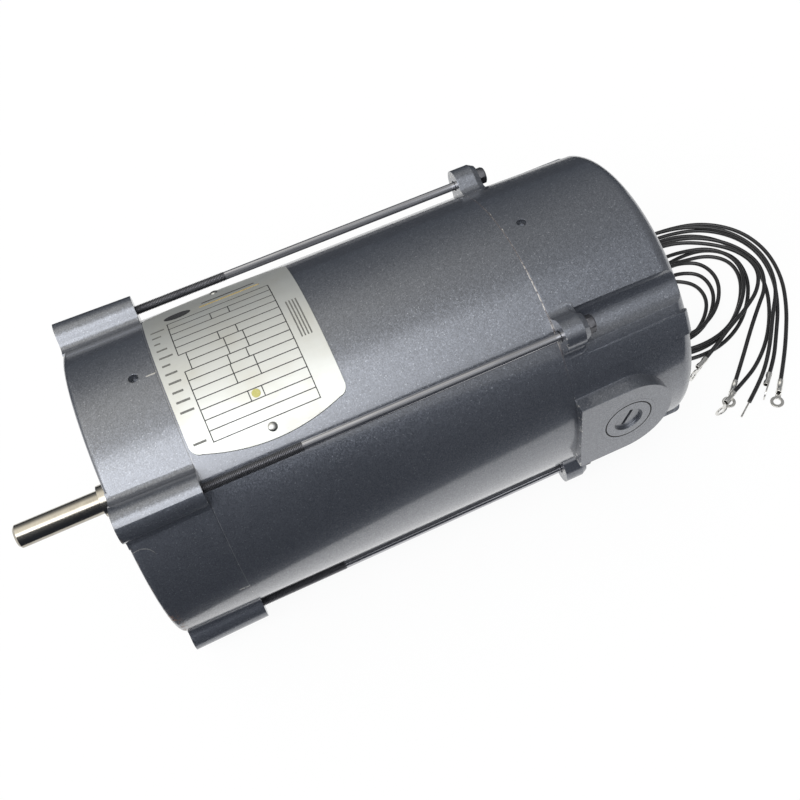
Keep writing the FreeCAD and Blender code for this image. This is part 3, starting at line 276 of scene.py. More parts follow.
def bell_wear(finish, edge):
    """Chips on the lug edges, a few scuffs, and the lower front rim rubbed to brown metal."""
    along, across, up = finish.split(finish.place)
    turn = around(finish)
    outside = (across * across + up * up).rise((FRAME_RADIUS - RIM_DEPTH) ** 2, FRAME_RADIUS ** 2)
    speck = finish.noise(0.0022, 4)
    chips = edge.rise(0.03, 0.16) * speck.rise(0.64, 0.7)
    scuffs = scratch(finish, *TOP_SCRATCH) + scratch(finish, *SIDE_SCRATCH)
    scuffs = scuffs * finish.noise(0.0012, 3).rise(0.4, 0.5) + ring_mark(finish) * 0.55
    rim = along.near(0.0002, 0.0014) * turn.near(8, 46) * outside
    bare = rim * speck.rise(0.46, 0.56)
    brown = turn.near(-14, 22) * along.near(-0.001, 0.005) * outside + rim
    stain = brown * speck.rise(0.5, 0.58) * 0.6
    return (chips + scuffs + bare * 0.5).rise(0.1, 0.8), stain, BARE_ALUMINIUM


dress(enamel("bell_enamel", bell_wear), "drive_end_bell")

# Front bearing: an open ball bearing of hardened steel, held in the bell by a circlip. Both races are
# ground and polished, and the cage is stamped from sheet.
TARNISH = 0.25


def metal(name, colour, roughness, grain, depth, stretch=(1, 1, 1), dulling=(0.5, 0.48, 0.45)):
    """Bare metal with machining marks: grain is their size, depth their relief, stretch their lie."""
    finish = Finish(name)
    marks = finish.noise(grain, 3, stretch)
    clouds = finish.noise(0.008, 3)
    dulled = tuple(part * share for part, share in zip(colour, dulling))
    tint = finish.mix(clouds.rise(0.45, 0.8) * TARNISH * 2, colour, dulled)
    return finish.close(
        Base_Color=finish.mix(marks.rise(0.35, 0.75) * TARNISH, tint, dulled),
        Metallic=1.0,
        Roughness=roughness * 0.7 + marks * roughness * 0.6,
        Normal=finish.bump(marks, depth, finish.rounded(0.0003)),
    )


TURNED = (1, 0.04, 0.04)
BEARING_STEEL = (0.66, 0.66, 0.65)
bearing_steel = metal("ground_bearing_steel", BEARING_STEEL, 0.16, 0.0003, 0.000002, TURNED)
cage_steel = metal("stamped_cage_steel", (0.55, 0.53, 0.48), 0.34, 0.0008, 0.000008)
spring_steel = metal("blued_spring_steel", (0.3, 0.3, 0.32), 0.32, 0.0006, 0.000004)
dress(bearing_steel, "front_bearing_inner_ring", "front_bearing_outer_ring", "front_bearing_balls")
dress(cage_steel, "front_bearing_cage")
dress(spring_steel, "front_bearing_circlip")

# Shaft and armature: a turned steel shaft carries the stacked core, its varnished copper coils and
# the commutator, whose copper bars stand on a moulded hub. All of it is pressed on and turns as one.
SHAFT_STEEL = (0.46, 0.43, 0.37)
dress(metal("turned_shaft_steel", SHAFT_STEEL, 0.2, 0.00025, 0.000003, TURNED), "shaft")


SHEET_THICKNESS = 0.0005


def stacked_sheets(name):
    """Edges of thin steel sheets pressed in a stack, dulled by varnish."""
    finish = Finish(name)
    along = finish.split(finish.place)[0]
    edge = finish.node("ShaderNodeMath", {"operation": "PINGPONG"}, {0: along, 1: SHEET_THICKNESS})
    groove = (edge * (1 / SHEET_THICKNESS)).rise(0.0, 0.4)
    clouds = finish.noise(0.006, 4)
    return finish.close(
        Base_Color=finish.mix(clouds * groove, (0.06, 0.055, 0.05), (0.3, 0.29, 0.28)),
        Metallic=0.85,
        Roughness=0.34 + clouds * 0.24,
        Normal=finish.bump(groove, 0.00003, finish.rounded(0.0003)),
    )


lamination_steel = stacked_sheets("stacked_steel_sheets")
dress(lamination_steel, "armature_core")


COIL_COPPER = (0.62, 0.25, 0.09)
COIL_SHADE = (0.16, 0.05, 0.02)
COIL_WIRE = 0.0007
COMMUTATOR_COPPER = (0.78, 0.4, 0.25)


def wound_wire(name):
    """Enamelled wire laid side by side and dipped in varnish."""
    finish = Finish(name)
    strands = finish.noise(COIL_WIRE, 2, (0.15, 1, 1))
    pools = finish.noise(0.005, 3)
    return finish.close(
        Base_Color=finish.mix(strands.rise(0.35, 0.65) * 0.7 + pools * 0.3, COIL_SHADE, COIL_COPPER),
        Metallic=0.45,
        Roughness=0.22 + pools * 0.2,
        Coat_Weight=0.6,
        Coat_Roughness=0.12,
        Normal=finish.bump(strands, 0.00025, finish.rounded(0.0008)),
    )


dress(wound_wire("varnished_winding"), "armature_winding")
dress(metal("commutator_copper", COMMUTATOR_COPPER, 0.24, 0.0003, 0.000004, TURNED), "commutator_bars")


def moulded(name, colour, fleck, roughness, size=0.0009):
    """Filled moulding resin: flecked, with a dull skin."""
    finish = Finish(name)
    grains = finish.split(finish.cells(size))[0]
    skin = finish.noise(0.004, 3)
    return finish.close(
        Base_Color=finish.mix(grains.rise(0.6, 1.0) * 0.5 + skin * 0.25, colour, fleck),
        Roughness=roughness - 0.08 + skin * 0.16,
        Normal=finish.bump(finish.noise(size), 0.000012, finish.rounded(0.0004)),
    )


phenolic = moulded("moulded_phenolic", (0.05, 0.028, 0.018), (0.14, 0.08, 0.05), 0.4)
dress(phenolic, "commutator_hub")

# Field: a ring of stacked steel sheets pressed in the shell, with two poles that face the rotor.
# Each pole holds a coil that is wrapped in cotton tape and soaked with varnish.
dress(lamination_steel, "field_core")
TAPE_LAP = 0.011
TAPE_SHADE = (0.2, 0.11, 0.04)
TAPE_AMBER = (0.55, 0.37, 0.17)


def wrapped_tape(name):
    """Cotton tape wound on a coil in overlapping turns and soaked with amber varnish."""
    finish = Finish(name)
    along, across = finish.split(finish.place)[:2]
    laps = (along + across * 0.7) * (1 / TAPE_LAP)
    ramp = finish.node("ShaderNodeMath", {"operation": "FRACT"}, {0: laps})
    weave = finish.noise(0.0004, 1) * 0.5 + ramp * 0.5
    varnish = finish.noise(0.006, 3)
    return finish.close(
        Base_Color=finish.mix(weave * 0.7 + varnish * 0.3, TAPE_SHADE, TAPE_AMBER),
        Roughness=0.42 + ramp * 0.12,
        Coat_Weight=0.4,
        Coat_Roughness=0.2,
        Normal=finish.bump(weave, 0.0003, finish.rounded(0.0015)),
    )


dress(wrapped_tape("varnished_tape"), "field_coil_top", "field_coil_bottom")

# Yoke shell: a rolled steel tube between bell and cover, sprayed with the casing in one go.
# Its paint is chipped to bright steel along the rear seam, where the cover was levered off. A thin line
# of painted shade lies in that joint, and a faint painted highlight line runs along the front seam.
# Bare steel for the chips; the same colour also makes the painted highlight line along the front seam.
BARE_STEEL_AND_SEAM_HIGHLIGHT = (0.7, 0.69, 0.67)


def shell_wear_and_painted_seam_light(finish, edge):
    """A bright broken line of chips along the upper rear seam with a thin brown-dark line of painted
    shade in its joint, and at the front seam a few chips on a faint painted highlight line.
    """
    along = finish.split(finish.place)[0]
    turn = around(finish)
    chip = finish.noise(0.0018, 5) * 0.7 + finish.noise(0.011, 2) * 0.3
    rear = along.near(SEAM_REAR, 0.0009) * turn.near(58, 24) * chip.rise(0.44, 0.52)
    thin = along.near(SEAM_REAR, 0.0005) * turn.near(84, 34) * chip.rise(0.5, 0.56) * 0.6
    # Front seam: the constant part is a painted highlight line, the noise part is chips.
    front = along.near(SEAM_FRONT, 0.0005) * (chip.rise(0.6, 0.66) * 0.4 + 0.27)
    # A thin brown-dark line of painted shade in the rear seam's joint.
    seam_shade = along.near(SEAM_REAR, 0.0007) * turn.near(78, 60) * 0.28
    return (rear + thin + front).rise(0.1, 0.8), seam_shade, BARE_STEEL_AND_SEAM_HIGHLIGHT


dress(enamel("shell_enamel", shell_wear_and_painted_seam_light), "yoke_shell")

# Nameplate: a lacquered aluminium sheet rolled to the shell, with a ruled table printed on it.
# Two drive rivets hold it at the middle of its bulged edges.
PLATE_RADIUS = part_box("nameplate")[1].z
PLATE_CLEAN = (0.65, 0.66, 0.63)
PLATE_YELLOWED = (0.58, 0.57, 0.51)
PRINT_LIFT = 0.00004
PRINT_STEP = 0.0015
RULE = 0.00048
TABLE_LEFT = -0.0525
TABLE_RIGHT = -0.1043
NOTCH_LEFT = -0.0561
TABLE_TOP = -0.0284
ROW = 0.00525
ROWS = 14
NOTCH_ROW = 6


def sheet_metal(name):
    """Satin aluminium under clear lacquer, rolled lengthwise, a little yellowed and smeared."""
    finish = Finish(name)
    brushed = finish.noise(0.0012, 3, (0.08, 1, 1))
    smear = finish.noise(0.018, 4)
    return finish.close(
        Base_Color=finish.mix(smear.rise(0.4, 0.75) * 0.6, PLATE_CLEAN, PLATE_YELLOWED),
        Metallic=0.88,
        Roughness=0.42 + brushed * 0.12 + smear * 0.08,
        Coat_Weight=0.2,
        Coat_Roughness=0.2,
        Normal=finish.bump(brushed, 0.000006, finish.rounded(0.0002)),
    )


dress(sheet_metal("lacquered_plate"), "nameplate")


def piece(name, vertices, faces, material, slot, body="motor_frame", crease=35):
    """A mesh in the part's frame that rides on a body; edges sharper than the crease stay sharp."""
    mesh = bpy.data.meshes.new(name)
    mesh.from_pydata(vertices, [], faces)
    mesh.shade_smooth()
    mesh.set_sharp_from_angle(angle=math.radians(crease))
    mesh.materials.append(material)
    obj = bpy.data.objects.new(name, mesh)
    bpy.context.scene.collection.objects.link(obj)
    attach(obj, body)
    return obj


def on_plate(x, arc, lift):
    """Point on the plate: arc runs from the top towards +Y."""
    turn = arc / PLATE_RADIUS
    radius = PLATE_RADIUS + lift
    return (x, radius * math.sin(turn), radius * math.cos(turn))


def printed(marks):
    """Thin raised ink bars; each mark is (x from, x to, arc from, arc to)."""
    vertices = []
    faces = []
    for x_from, x_to, arc_from, arc_to in marks:
        steps = max(1, round(abs(arc_to - arc_from) / PRINT_STEP))
        base = len(vertices)
        for step in range(steps + 1):
            arc = arc_from + (arc_to - arc_from) * step / steps
            for x, lift in ((x_from, 0), (x_to, 0), (x_to, PRINT_LIFT), (x_from, PRINT_LIFT)):
                vertices.append(on_plate(x, arc, lift))
        for step in range(steps):
            low = base + 4 * step
            for side in range(4):
                after = (side + 1) % 4
                faces.append((low + side, low + after, low + 4 + after, low + 4 + side))
        last = base + 4 * steps
        faces.append((base + 3, base + 2, base + 1, base))
        faces.append((last, last + 1, last + 2, last + 3))
    return vertices, faces


def row_arc(row):
    return TABLE_TOP + ROW * row


def level_rule(row, x_from, x_to):
    arc = row_arc(row)
    return (x_from + RULE / 2, x_to - RULE / 2, arc - RULE / 2, arc + RULE / 2)


def upright_rule(x, row_from, row_to):
    return (x + RULE / 2, x - RULE / 2, row_arc(row_from) + RULE / 2, row_arc(row_to) - RULE / 2)


rules = []
for row in range(ROWS + 1):
    rules.append(level_rule(row, NOTCH_LEFT if row == NOTCH_ROW else TABLE_LEFT, TABLE_RIGHT))
UPRIGHTS = [
    (TABLE_LEFT, 0, 5), (NOTCH_LEFT, 5, 7), (TABLE_LEFT, 7, 14), (TABLE_RIGHT, 0, 14),
    (-0.0732, 1, 2), (-0.0823, 1, 2), (-0.0731, 4, 5), (-0.0822, 4, 5),
    (-0.0746, 5, 7), (-0.0841, 5, 7), (-0.0731, 7, 8), (-0.0822, 7, 8),
    (-0.0726, 8, 10), (-0.0841, 8, 10), (-0.0751, 11, 12), (-0.0818, 11, 12)]
for x, row_from, row_to in UPRIGHTS:
    for row in range(row_from, row_to):
        rules.append(upright_rule(x, row, row + 1))
ink = moulded("printing_ink", (0.012, 0.012, 0.013), (0.05, 0.05, 0.05), 0.45, 0.0005)
piece("nameplate_rules", *printed(rules), ink, "plate_metal")
CAPTION_START = -0.0437
CAPTION_HEIGHT = 0.0011
CAPTION_DROP = 0.6
CAPTION_LENGTHS = (
    0.0068, 0.0045, 0.003, 0.0052, 0.0066, 0.004, 0.0058, 0.006, 0.0052, 0.0066, 0.0066, 0, 0, 0.0062)
captions = []
for row, length in enumerate(CAPTION_LENGTHS):
    middle = row_arc(row + CAPTION_DROP)
    arcs = (middle - CAPTION_HEIGHT / 2, middle + CAPTION_HEIGHT / 2)
    if length:
        captions.append((CAPTION_START, CAPTION_START - length, *arcs))
NOTE_COLUMNS = (-0.1078, -0.1094, -0.111, -0.1126)
NOTE_WIDTH = 0.0007
NOTE_ARCS = (-0.009, 0.0145)
for x in NOTE_COLUMNS:
    captions.append((x, x - NOTE_WIDTH, *NOTE_ARCS))
grey_ink = moulded("grey_printing_ink", (0.11, 0.11, 0.1), (0.2, 0.2, 0.18), 0.5, 0.0004)
piece("nameplate_captions", *printed(captions), grey_ink, "plate_metal")
TITLE_RULE = (-0.0715, -0.099, -0.0385, -0.0374)
piece("nameplate_title_rule", *printed([TITLE_RULE]), ink, "plate_metal")
GOLD_RULE = (-0.07, -0.101, -0.0345, -0.0334)
gold_ink = moulded("gold_printing_ink", (0.42, 0.3, 0.08), (0.6, 0.45, 0.16), 0.4, 0.0004)
piece("nameplate_gold_rule", *printed([GOLD_RULE]), gold_ink, "plate_metal")


def spun(profile, turns, spot, ring=False):
    """A profile spun about local X: each of its points is (along, radius as a function of the turn).
    An open profile gets flat end caps; a ring profile closes on itself."""
    vertices = []
    faces = []
    count = len(turns)
    for along, radius_at in profile:
        for turn in turns:
            radius = radius_at(turn)
            vertices.append(spot @ Vector((along, radius * math.cos(turn), radius * math.sin(turn))))
    rows = len(profile)
    for row in range(rows if ring else rows - 1):
        here = row * count
        beyond = (row + 1) % rows * count
        for step in range(count):
            after = (step + 1) % count
            faces.append((here + step, here + after, beyond + after, beyond + step))
    if not ring:
        faces.append(tuple(reversed(range(count))))
        faces.append(tuple(range((rows - 1) * count, rows * count)))
    return vertices, faces


def full_turn(count):
    return [2 * math.pi * step / count for step in range(count)]


def even(radius):
    return lambda turn: radius


def joined(*shapes):
    vertices = []
    faces = []
    for more_vertices, more_faces in shapes:
        base = len(vertices)
        vertices += more_vertices
        faces += [tuple(base + index for index in face) for face in more_faces]
    return vertices, faces


def radial_spot(x, angle, radius):
    """Frame on the casing whose local X points straight out from the shaft."""
    out = Vector((0, math.cos(angle), math.sin(angle)))
    side = Vector((1, 0, 0))
    third = out.cross(side)
    spot = Matrix((out, side, third)).transposed().to_4x4()
    spot.translation = Vector((x, 0, 0)) + out * radius
    return spot


INK_DOT_X = -0.0783
INK_DOT_ARC = 0.0318
INK_DOT_RADIUS = 0.0021
INK_DOT_ROOT = 0.0001
dot_angle = math.pi / 2 - INK_DOT_ARC / PLATE_RADIUS
dot_spot = radial_spot(INK_DOT_X, dot_angle, PLATE_RADIUS)
dot_profile = [(-INK_DOT_ROOT, even(INK_DOT_RADIUS)), (PRINT_LIFT, even(INK_DOT_RADIUS))]
yellow_ink = moulded("yellow_ink", (0.42, 0.39, 0.1), (0.52, 0.49, 0.22), 0.5, 0.0004)
piece("nameplate_ink_dot", *spun(dot_profile, full_turn(24), dot_spot), yellow_ink, "plate_metal")

BADGE_X = -0.0585
BADGE_ARC = -0.0345
BADGE_LENGTH = 0.0068
BADGE_HEIGHT = 0.0033
BADGE_SLICES = 24
badge = []
for slice_number in range(BADGE_SLICES):
    low, high = (2 * step / BADGE_SLICES - 1 for step in (slice_number, slice_number + 1))
    reach = BADGE_LENGTH * math.sqrt(1 - ((low + high) / 2) ** 2)
    arcs = (BADGE_ARC + BADGE_HEIGHT * low, BADGE_ARC + BADGE_HEIGHT * high)
    badge.append((BADGE_X + reach, BADGE_X - reach, *arcs))
piece("nameplate_blank_badge", *printed(badge), ink, "plate_metal")

rivet_low, rivet_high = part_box("nameplate_rivets")
RIVET_X = (rivet_low.x + rivet_high.x) / 2
RIVET_HEAD = (rivet_high.x - rivet_low.x) / 2
RIVET_RISE = 0.001
RIVET_SHANK = 0.0012
RIVET_GRIP = 0.003
RIVET_ACROSS = 0.0458
RIVET_LEAN = math.acos(RIVET_ACROSS / PLATE_RADIUS)
DOME_STEPS = 6
DOME_STEP = 13
dome = [(-RIVET_GRIP, even(RIVET_SHANK)), (0.0, even(RIVET_SHANK)), (0.0, even(RIVET_HEAD))]
for step in range(1, DOME_STEPS + 1):
    lean = math.radians(DOME_STEP * step)
    dome.append((RIVET_RISE * math.sin(lean), even(RIVET_HEAD * math.cos(lean))))
rivet_turns = full_turn(28)
rivets = joined(
    spun(dome, rivet_turns, radial_spot(RIVET_X, RIVET_LEAN, PLATE_RADIUS)),
    spun(dome, rivet_turns, radial_spot(RIVET_X, math.pi - RIVET_LEAN, PLATE_RADIUS)))
rivet_steel = metal("drive_rivet_steel", (0.4, 0.4, 0.38), 0.3, 0.0006, 0.000006)
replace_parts(piece("drive_rivets", *rivets, rivet_steel, "rivet_metal"), "nameplate_rivets")

# Rear cover: a deep aluminium casting over the brushes, with a flat boss on each side for the
# brush holders and troughs that clear the bolt heads. It carries the rear bearing and its spring.


def cover_wear(finish, edge):
    """Light chips on the corners and along the seam."""
    along = finish.split(finish.place)[0]
    speck = finish.noise(0.0022, 4)
    chips = edge.rise(0.05, 0.2) * speck.rise(0.65, 0.7)
    seam = along.near(SEAM_REAR, 0.0006) * finish.noise(0.002, 5).rise(0.6, 0.66)
    return (chips + seam).rise(0.1, 0.6), speck.rise(0.9, 1.0), BARE_ALUMINIUM


dress(enamel("cover_enamel", cover_wear), "rear_cover")
dress(bearing_steel, "rear_bearing_inner_ring", "rear_bearing_outer_ring", "rear_bearing_balls")
dress(cage_steel, "rear_bearing_cage")
dress(spring_steel, "rear_wave_washer")

# Brush gear, one set on each side: a carbon brush slides in a brass guide inside an insulating
# sleeve, and a coil spring under a slotted screw cap presses it on the commutator. Cap and sleeve
# were sprayed over with the casing.
cap_low, cap_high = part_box("brush_cap_near")
BRUSH_X = (cap_low.x + cap_high.x) / 2
CAP_RADIUS = (cap_high.x - cap_low.x) / 2
# Width and colour of the painted shade ring at the gap between cap and sleeve; the colour also fills
# the unsprayed inside.
GAP_SHADE_WIDTH = 0.00055
GAP_SHADE_AND_BARE_DARK = (0.012, 0.012, 0.013)
SPRAY_REACH = 0.002


def cap_spray_and_gap_shade(finish, edge):
    """A near-black ring of painted shade marks the gap between cap and sleeve, and the spray ends just
    inside the casing, where the same near-black colour takes over.
    """
    along, across, up = finish.split(finish.place)
    spread = (along - BRUSH_X) * (along - BRUSH_X) + up * up
    # Painted shade ring along the gap between cap and sleeve.
    gap_shade = spread.near(CAP_RADIUS ** 2, 2 * CAP_RADIUS * GAP_SHADE_WIDTH)
    inside = abs(across).rise(cap_high.y - SPRAY_REACH, cap_high.y - 2 * SPRAY_REACH)
    return (gap_shade + inside).rise(0.1, 0.8), edge * 0, GAP_SHADE_AND_BARE_DARK


dress(enamel("sprayed_brush_gear", cap_spray_and_gap_shade), "brush_sleeve_near", "brush_sleeve_far",
      "brush_cap_near", "brush_cap_far")
dress(metal("drawn_brass", (0.78, 0.57, 0.24), 0.28, 0.0007, 0.000004, (1, 0.05, 1)),
      "brush_guide_near", "brush_guide_far")
carbon = moulded("pressed_carbon", (0.022, 0.022, 0.024), (0.07, 0.07, 0.075), 0.5, 0.0003)
dress(carbon, "brush_near", "brush_far")
SPRING_TURNS = 7
SPRING_WIRE = 0.0009
SPRING_COIL = 0.0034
MIDDLE_CLOSER = 0.35
CHORDS = 20


def wire(points, radius, columns):
    """A round wire through points, with flat ends."""
    vertices = []
    across = None
    for index, point in enumerate(points):
        ahead = points[min(index + 1, len(points) - 1)] - points[max(index - 1, 0)]
        ahead.normalize()
        if across is None:
            across = ahead.orthogonal()
        across = (across - ahead * across.dot(ahead)).normalized()
        third = ahead.cross(across)
        for turn in full_turn(columns):
            vertices.append(point + (across * math.cos(turn) + third * math.sin(turn)) * radius)
    faces = []
    for row in range(len(points) - 1):
        for step in range(columns):
            after = (step + 1) % columns
            here = row * columns
            faces.append((here + step, here + after, here + columns + after, here + columns + step))
    faces.append(tuple(reversed(range(columns))))
    faces.append(tuple(range((len(points) - 1) * columns, len(points) * columns)))
    return vertices, faces


for side in ("near", "far"):
    low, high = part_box("brush_spring_" + side)
    centre = (low + high) / 2
    length = high.y - low.y
    steps = SPRING_TURNS * CHORDS
    helix = []
    for step in range(steps + 1):
        turn = 2 * math.pi * step / CHORDS
        share = step / steps
        eased = share + math.sin(2 * math.pi * share) / (2 * math.pi) * MIDDLE_CLOSER
        rise = (eased - 0.5) * (length - SPRING_WIRE)
        along = SPRING_COIL * math.cos(turn)
        up = SPRING_COIL * math.sin(turn)
        helix.append(Vector((centre.x + along, centre.y + rise, up)))
    coil = wire(helix, SPRING_WIRE / 2, 10)
    spring = piece("coil_spring_" + side, *coil, spring_steel, "spring_steel")
    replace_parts(spring, "brush_spring_" + side)
    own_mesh(spring)

# Through bolts: four long machine screws outside the shell that clamp bell, shell and cover. The
# rolled thread and the hex head are dark, the plain shank is bright, and a washer lies under each head.
bolt_low, bolt_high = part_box("through_bolts")
BOLT_STAND_OFF = 0.0055
BOLT_CIRCLE = FRAME_RADIUS + BOLT_STAND_OFF
BOLT_ANGLES = (45, 135, 225, 315)
BOLT_TIP = bolt_high.x
BOLT_END = bolt_low.x
HEAD_HEIGHT = 0.0034
HEAD_CORNER = 0.0046
HEAD_CHAMFER = ((0.0006, 1), (0.0003, 0.955), (0, 0.84))
TIP_SHARE = 0.8
SHANK_RADIUS = 0.00215
CREST_RADIUS = 0.00241
ROOT_RADIUS = 0.002
THREAD_PITCH = 0.0008
THREAD_END = -0.088
ROWS_PER_PITCH = 5
SKIN_FADE = 0.0004


def thread_at(x):
    def radius_at(turn):
        share = (x / THREAD_PITCH + turn / (2 * math.pi)) % 1
        return ROOT_RADIUS + (CREST_RADIUS - ROOT_RADIUS) * min(1, 2.4 * abs(share - 0.5))
    return radius_at


def hexagon(corner, limit):
    flat = corner * math.cos(math.pi / 6)
    return lambda turn: min(limit, flat / math.cos((turn + math.pi / 6) % (math.pi / 3) - math.pi / 6))


head_front = BOLT_END + HEAD_HEIGHT
bolt_profile = [(BOLT_TIP, even(ROOT_RADIUS * TIP_SHARE))]
row_step = THREAD_PITCH / ROWS_PER_PITCH
for row in range(1, round((BOLT_TIP - THREAD_END) / row_step)):
    x = BOLT_TIP - row * row_step
    bolt_profile.append((x, thread_at(x)))
bolt_profile += [(THREAD_END, even(SHANK_RADIUS)), (head_front, even(SHANK_RADIUS))]
bolt_profile.append((head_front, hexagon(HEAD_CORNER, HEAD_CORNER)))
for rise, share in HEAD_CHAMFER:
    bolt_profile.append((BOLT_END + rise, hexagon(HEAD_CORNER, HEAD_CORNER * share)))
bolt_shapes = []
for angle in BOLT_ANGLES:
    lean = math.radians(angle)
    spot = Matrix.Translation((0, BOLT_CIRCLE * math.cos(lean), BOLT_CIRCLE * math.sin(lean)))
    bolt_shapes.append(spun(bolt_profile, full_turn(24), spot))


def bolt_steel(name):
    """Bright plated shank; thread and head keep a dark oil-blackened skin."""
    finish = Finish(name)
    along = finish.split(finish.place)[0]
    streaks = finish.noise(0.0011, 3, (0.05, 1, 1))
    blotch = finish.noise(0.006, 4)
    thread = along.rise(THREAD_END - SKIN_FADE, THREAD_END)
    head = along.rise(head_front + SKIN_FADE / 2, head_front - SKIN_FADE / 2)
    skin = thread + head
    bright = finish.mix(streaks.rise(0.35, 0.75) * 0.6, (0.5, 0.5, 0.52), (0.28, 0.28, 0.3))
    dark = finish.mix(blotch, (0.09, 0.09, 0.1), (0.19, 0.19, 0.2))
    return finish.close(
        Base_Color=finish.mix(skin, bright, dark),
        Metallic=0.95,
        Roughness=0.12 + streaks * 0.1 + skin * 0.2,
        Normal=finish.bump(streaks, 0.000006, finish.rounded(0.0002)),
    )


plated = bolt_steel("plated_bolt_steel")
bolts = piece("clamp_bolts", *joined(*bolt_shapes), plated, "bolt_steel", crease=50)
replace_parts(bolts, "through_bolts")
dress(metal("blackened_washer_steel", (0.2, 0.2, 0.21), 0.36, 0.0008, 0.000008), "bolt_lockwashers")

# Lead grommet: a black rubber moulding that keeps the leads off the edge of their hole. It is snapped
# into the rear wall and holds itself there by a rounded lip on each face.
grommet_low, grommet_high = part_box("lead_grommet")
grommet_middle = (grommet_low + grommet_high) / 2
GROMMET_LIP = 0.001
GROMMET_BORE = 0.0046
GROMMET_NECK = 0.0065
GROMMET_FLANGE = (grommet_high.y - grommet_low.y) / 2
half_length = (grommet_high.x - grommet_low.x) / 2
lip_profile = []
lip_x = half_length - GROMMET_LIP
LIP_ARCS = ((GROMMET_BORE + GROMMET_LIP, 180, 90), (GROMMET_FLANGE - GROMMET_LIP, 90, -90))
LIP_STEPS = 6
for end in (-1, 1):
    half = []
    for middle, turn_from, turn_to in LIP_ARCS:
        for step in range(LIP_STEPS + 1):
            turn = math.radians(turn_from + (turn_to - turn_from) * step / LIP_STEPS)
            half.append((lip_x + GROMMET_LIP * math.sin(turn), middle + GROMMET_LIP * math.cos(turn)))
    half.append((lip_x - GROMMET_LIP, GROMMET_NECK))
    if end < 0:
        half = [(-x, radius) for x, radius in reversed(half)]
    lip_profile += half
lip_profile = [(x, even(radius)) for x, radius in lip_profile]
grommet_spot = Matrix.Translation(grommet_middle)
rubber = moulded("grommet_rubber", (0.014, 0.014, 0.015), (0.04, 0.04, 0.042), 0.55, 0.0006)
grommet_shape = spun(lip_profile, full_turn(40), grommet_spot, ring=True)
grommet = piece("wire_grommet", *grommet_shape, rubber, "grommet_rubber")
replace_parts(grommet, "lead_grommet")

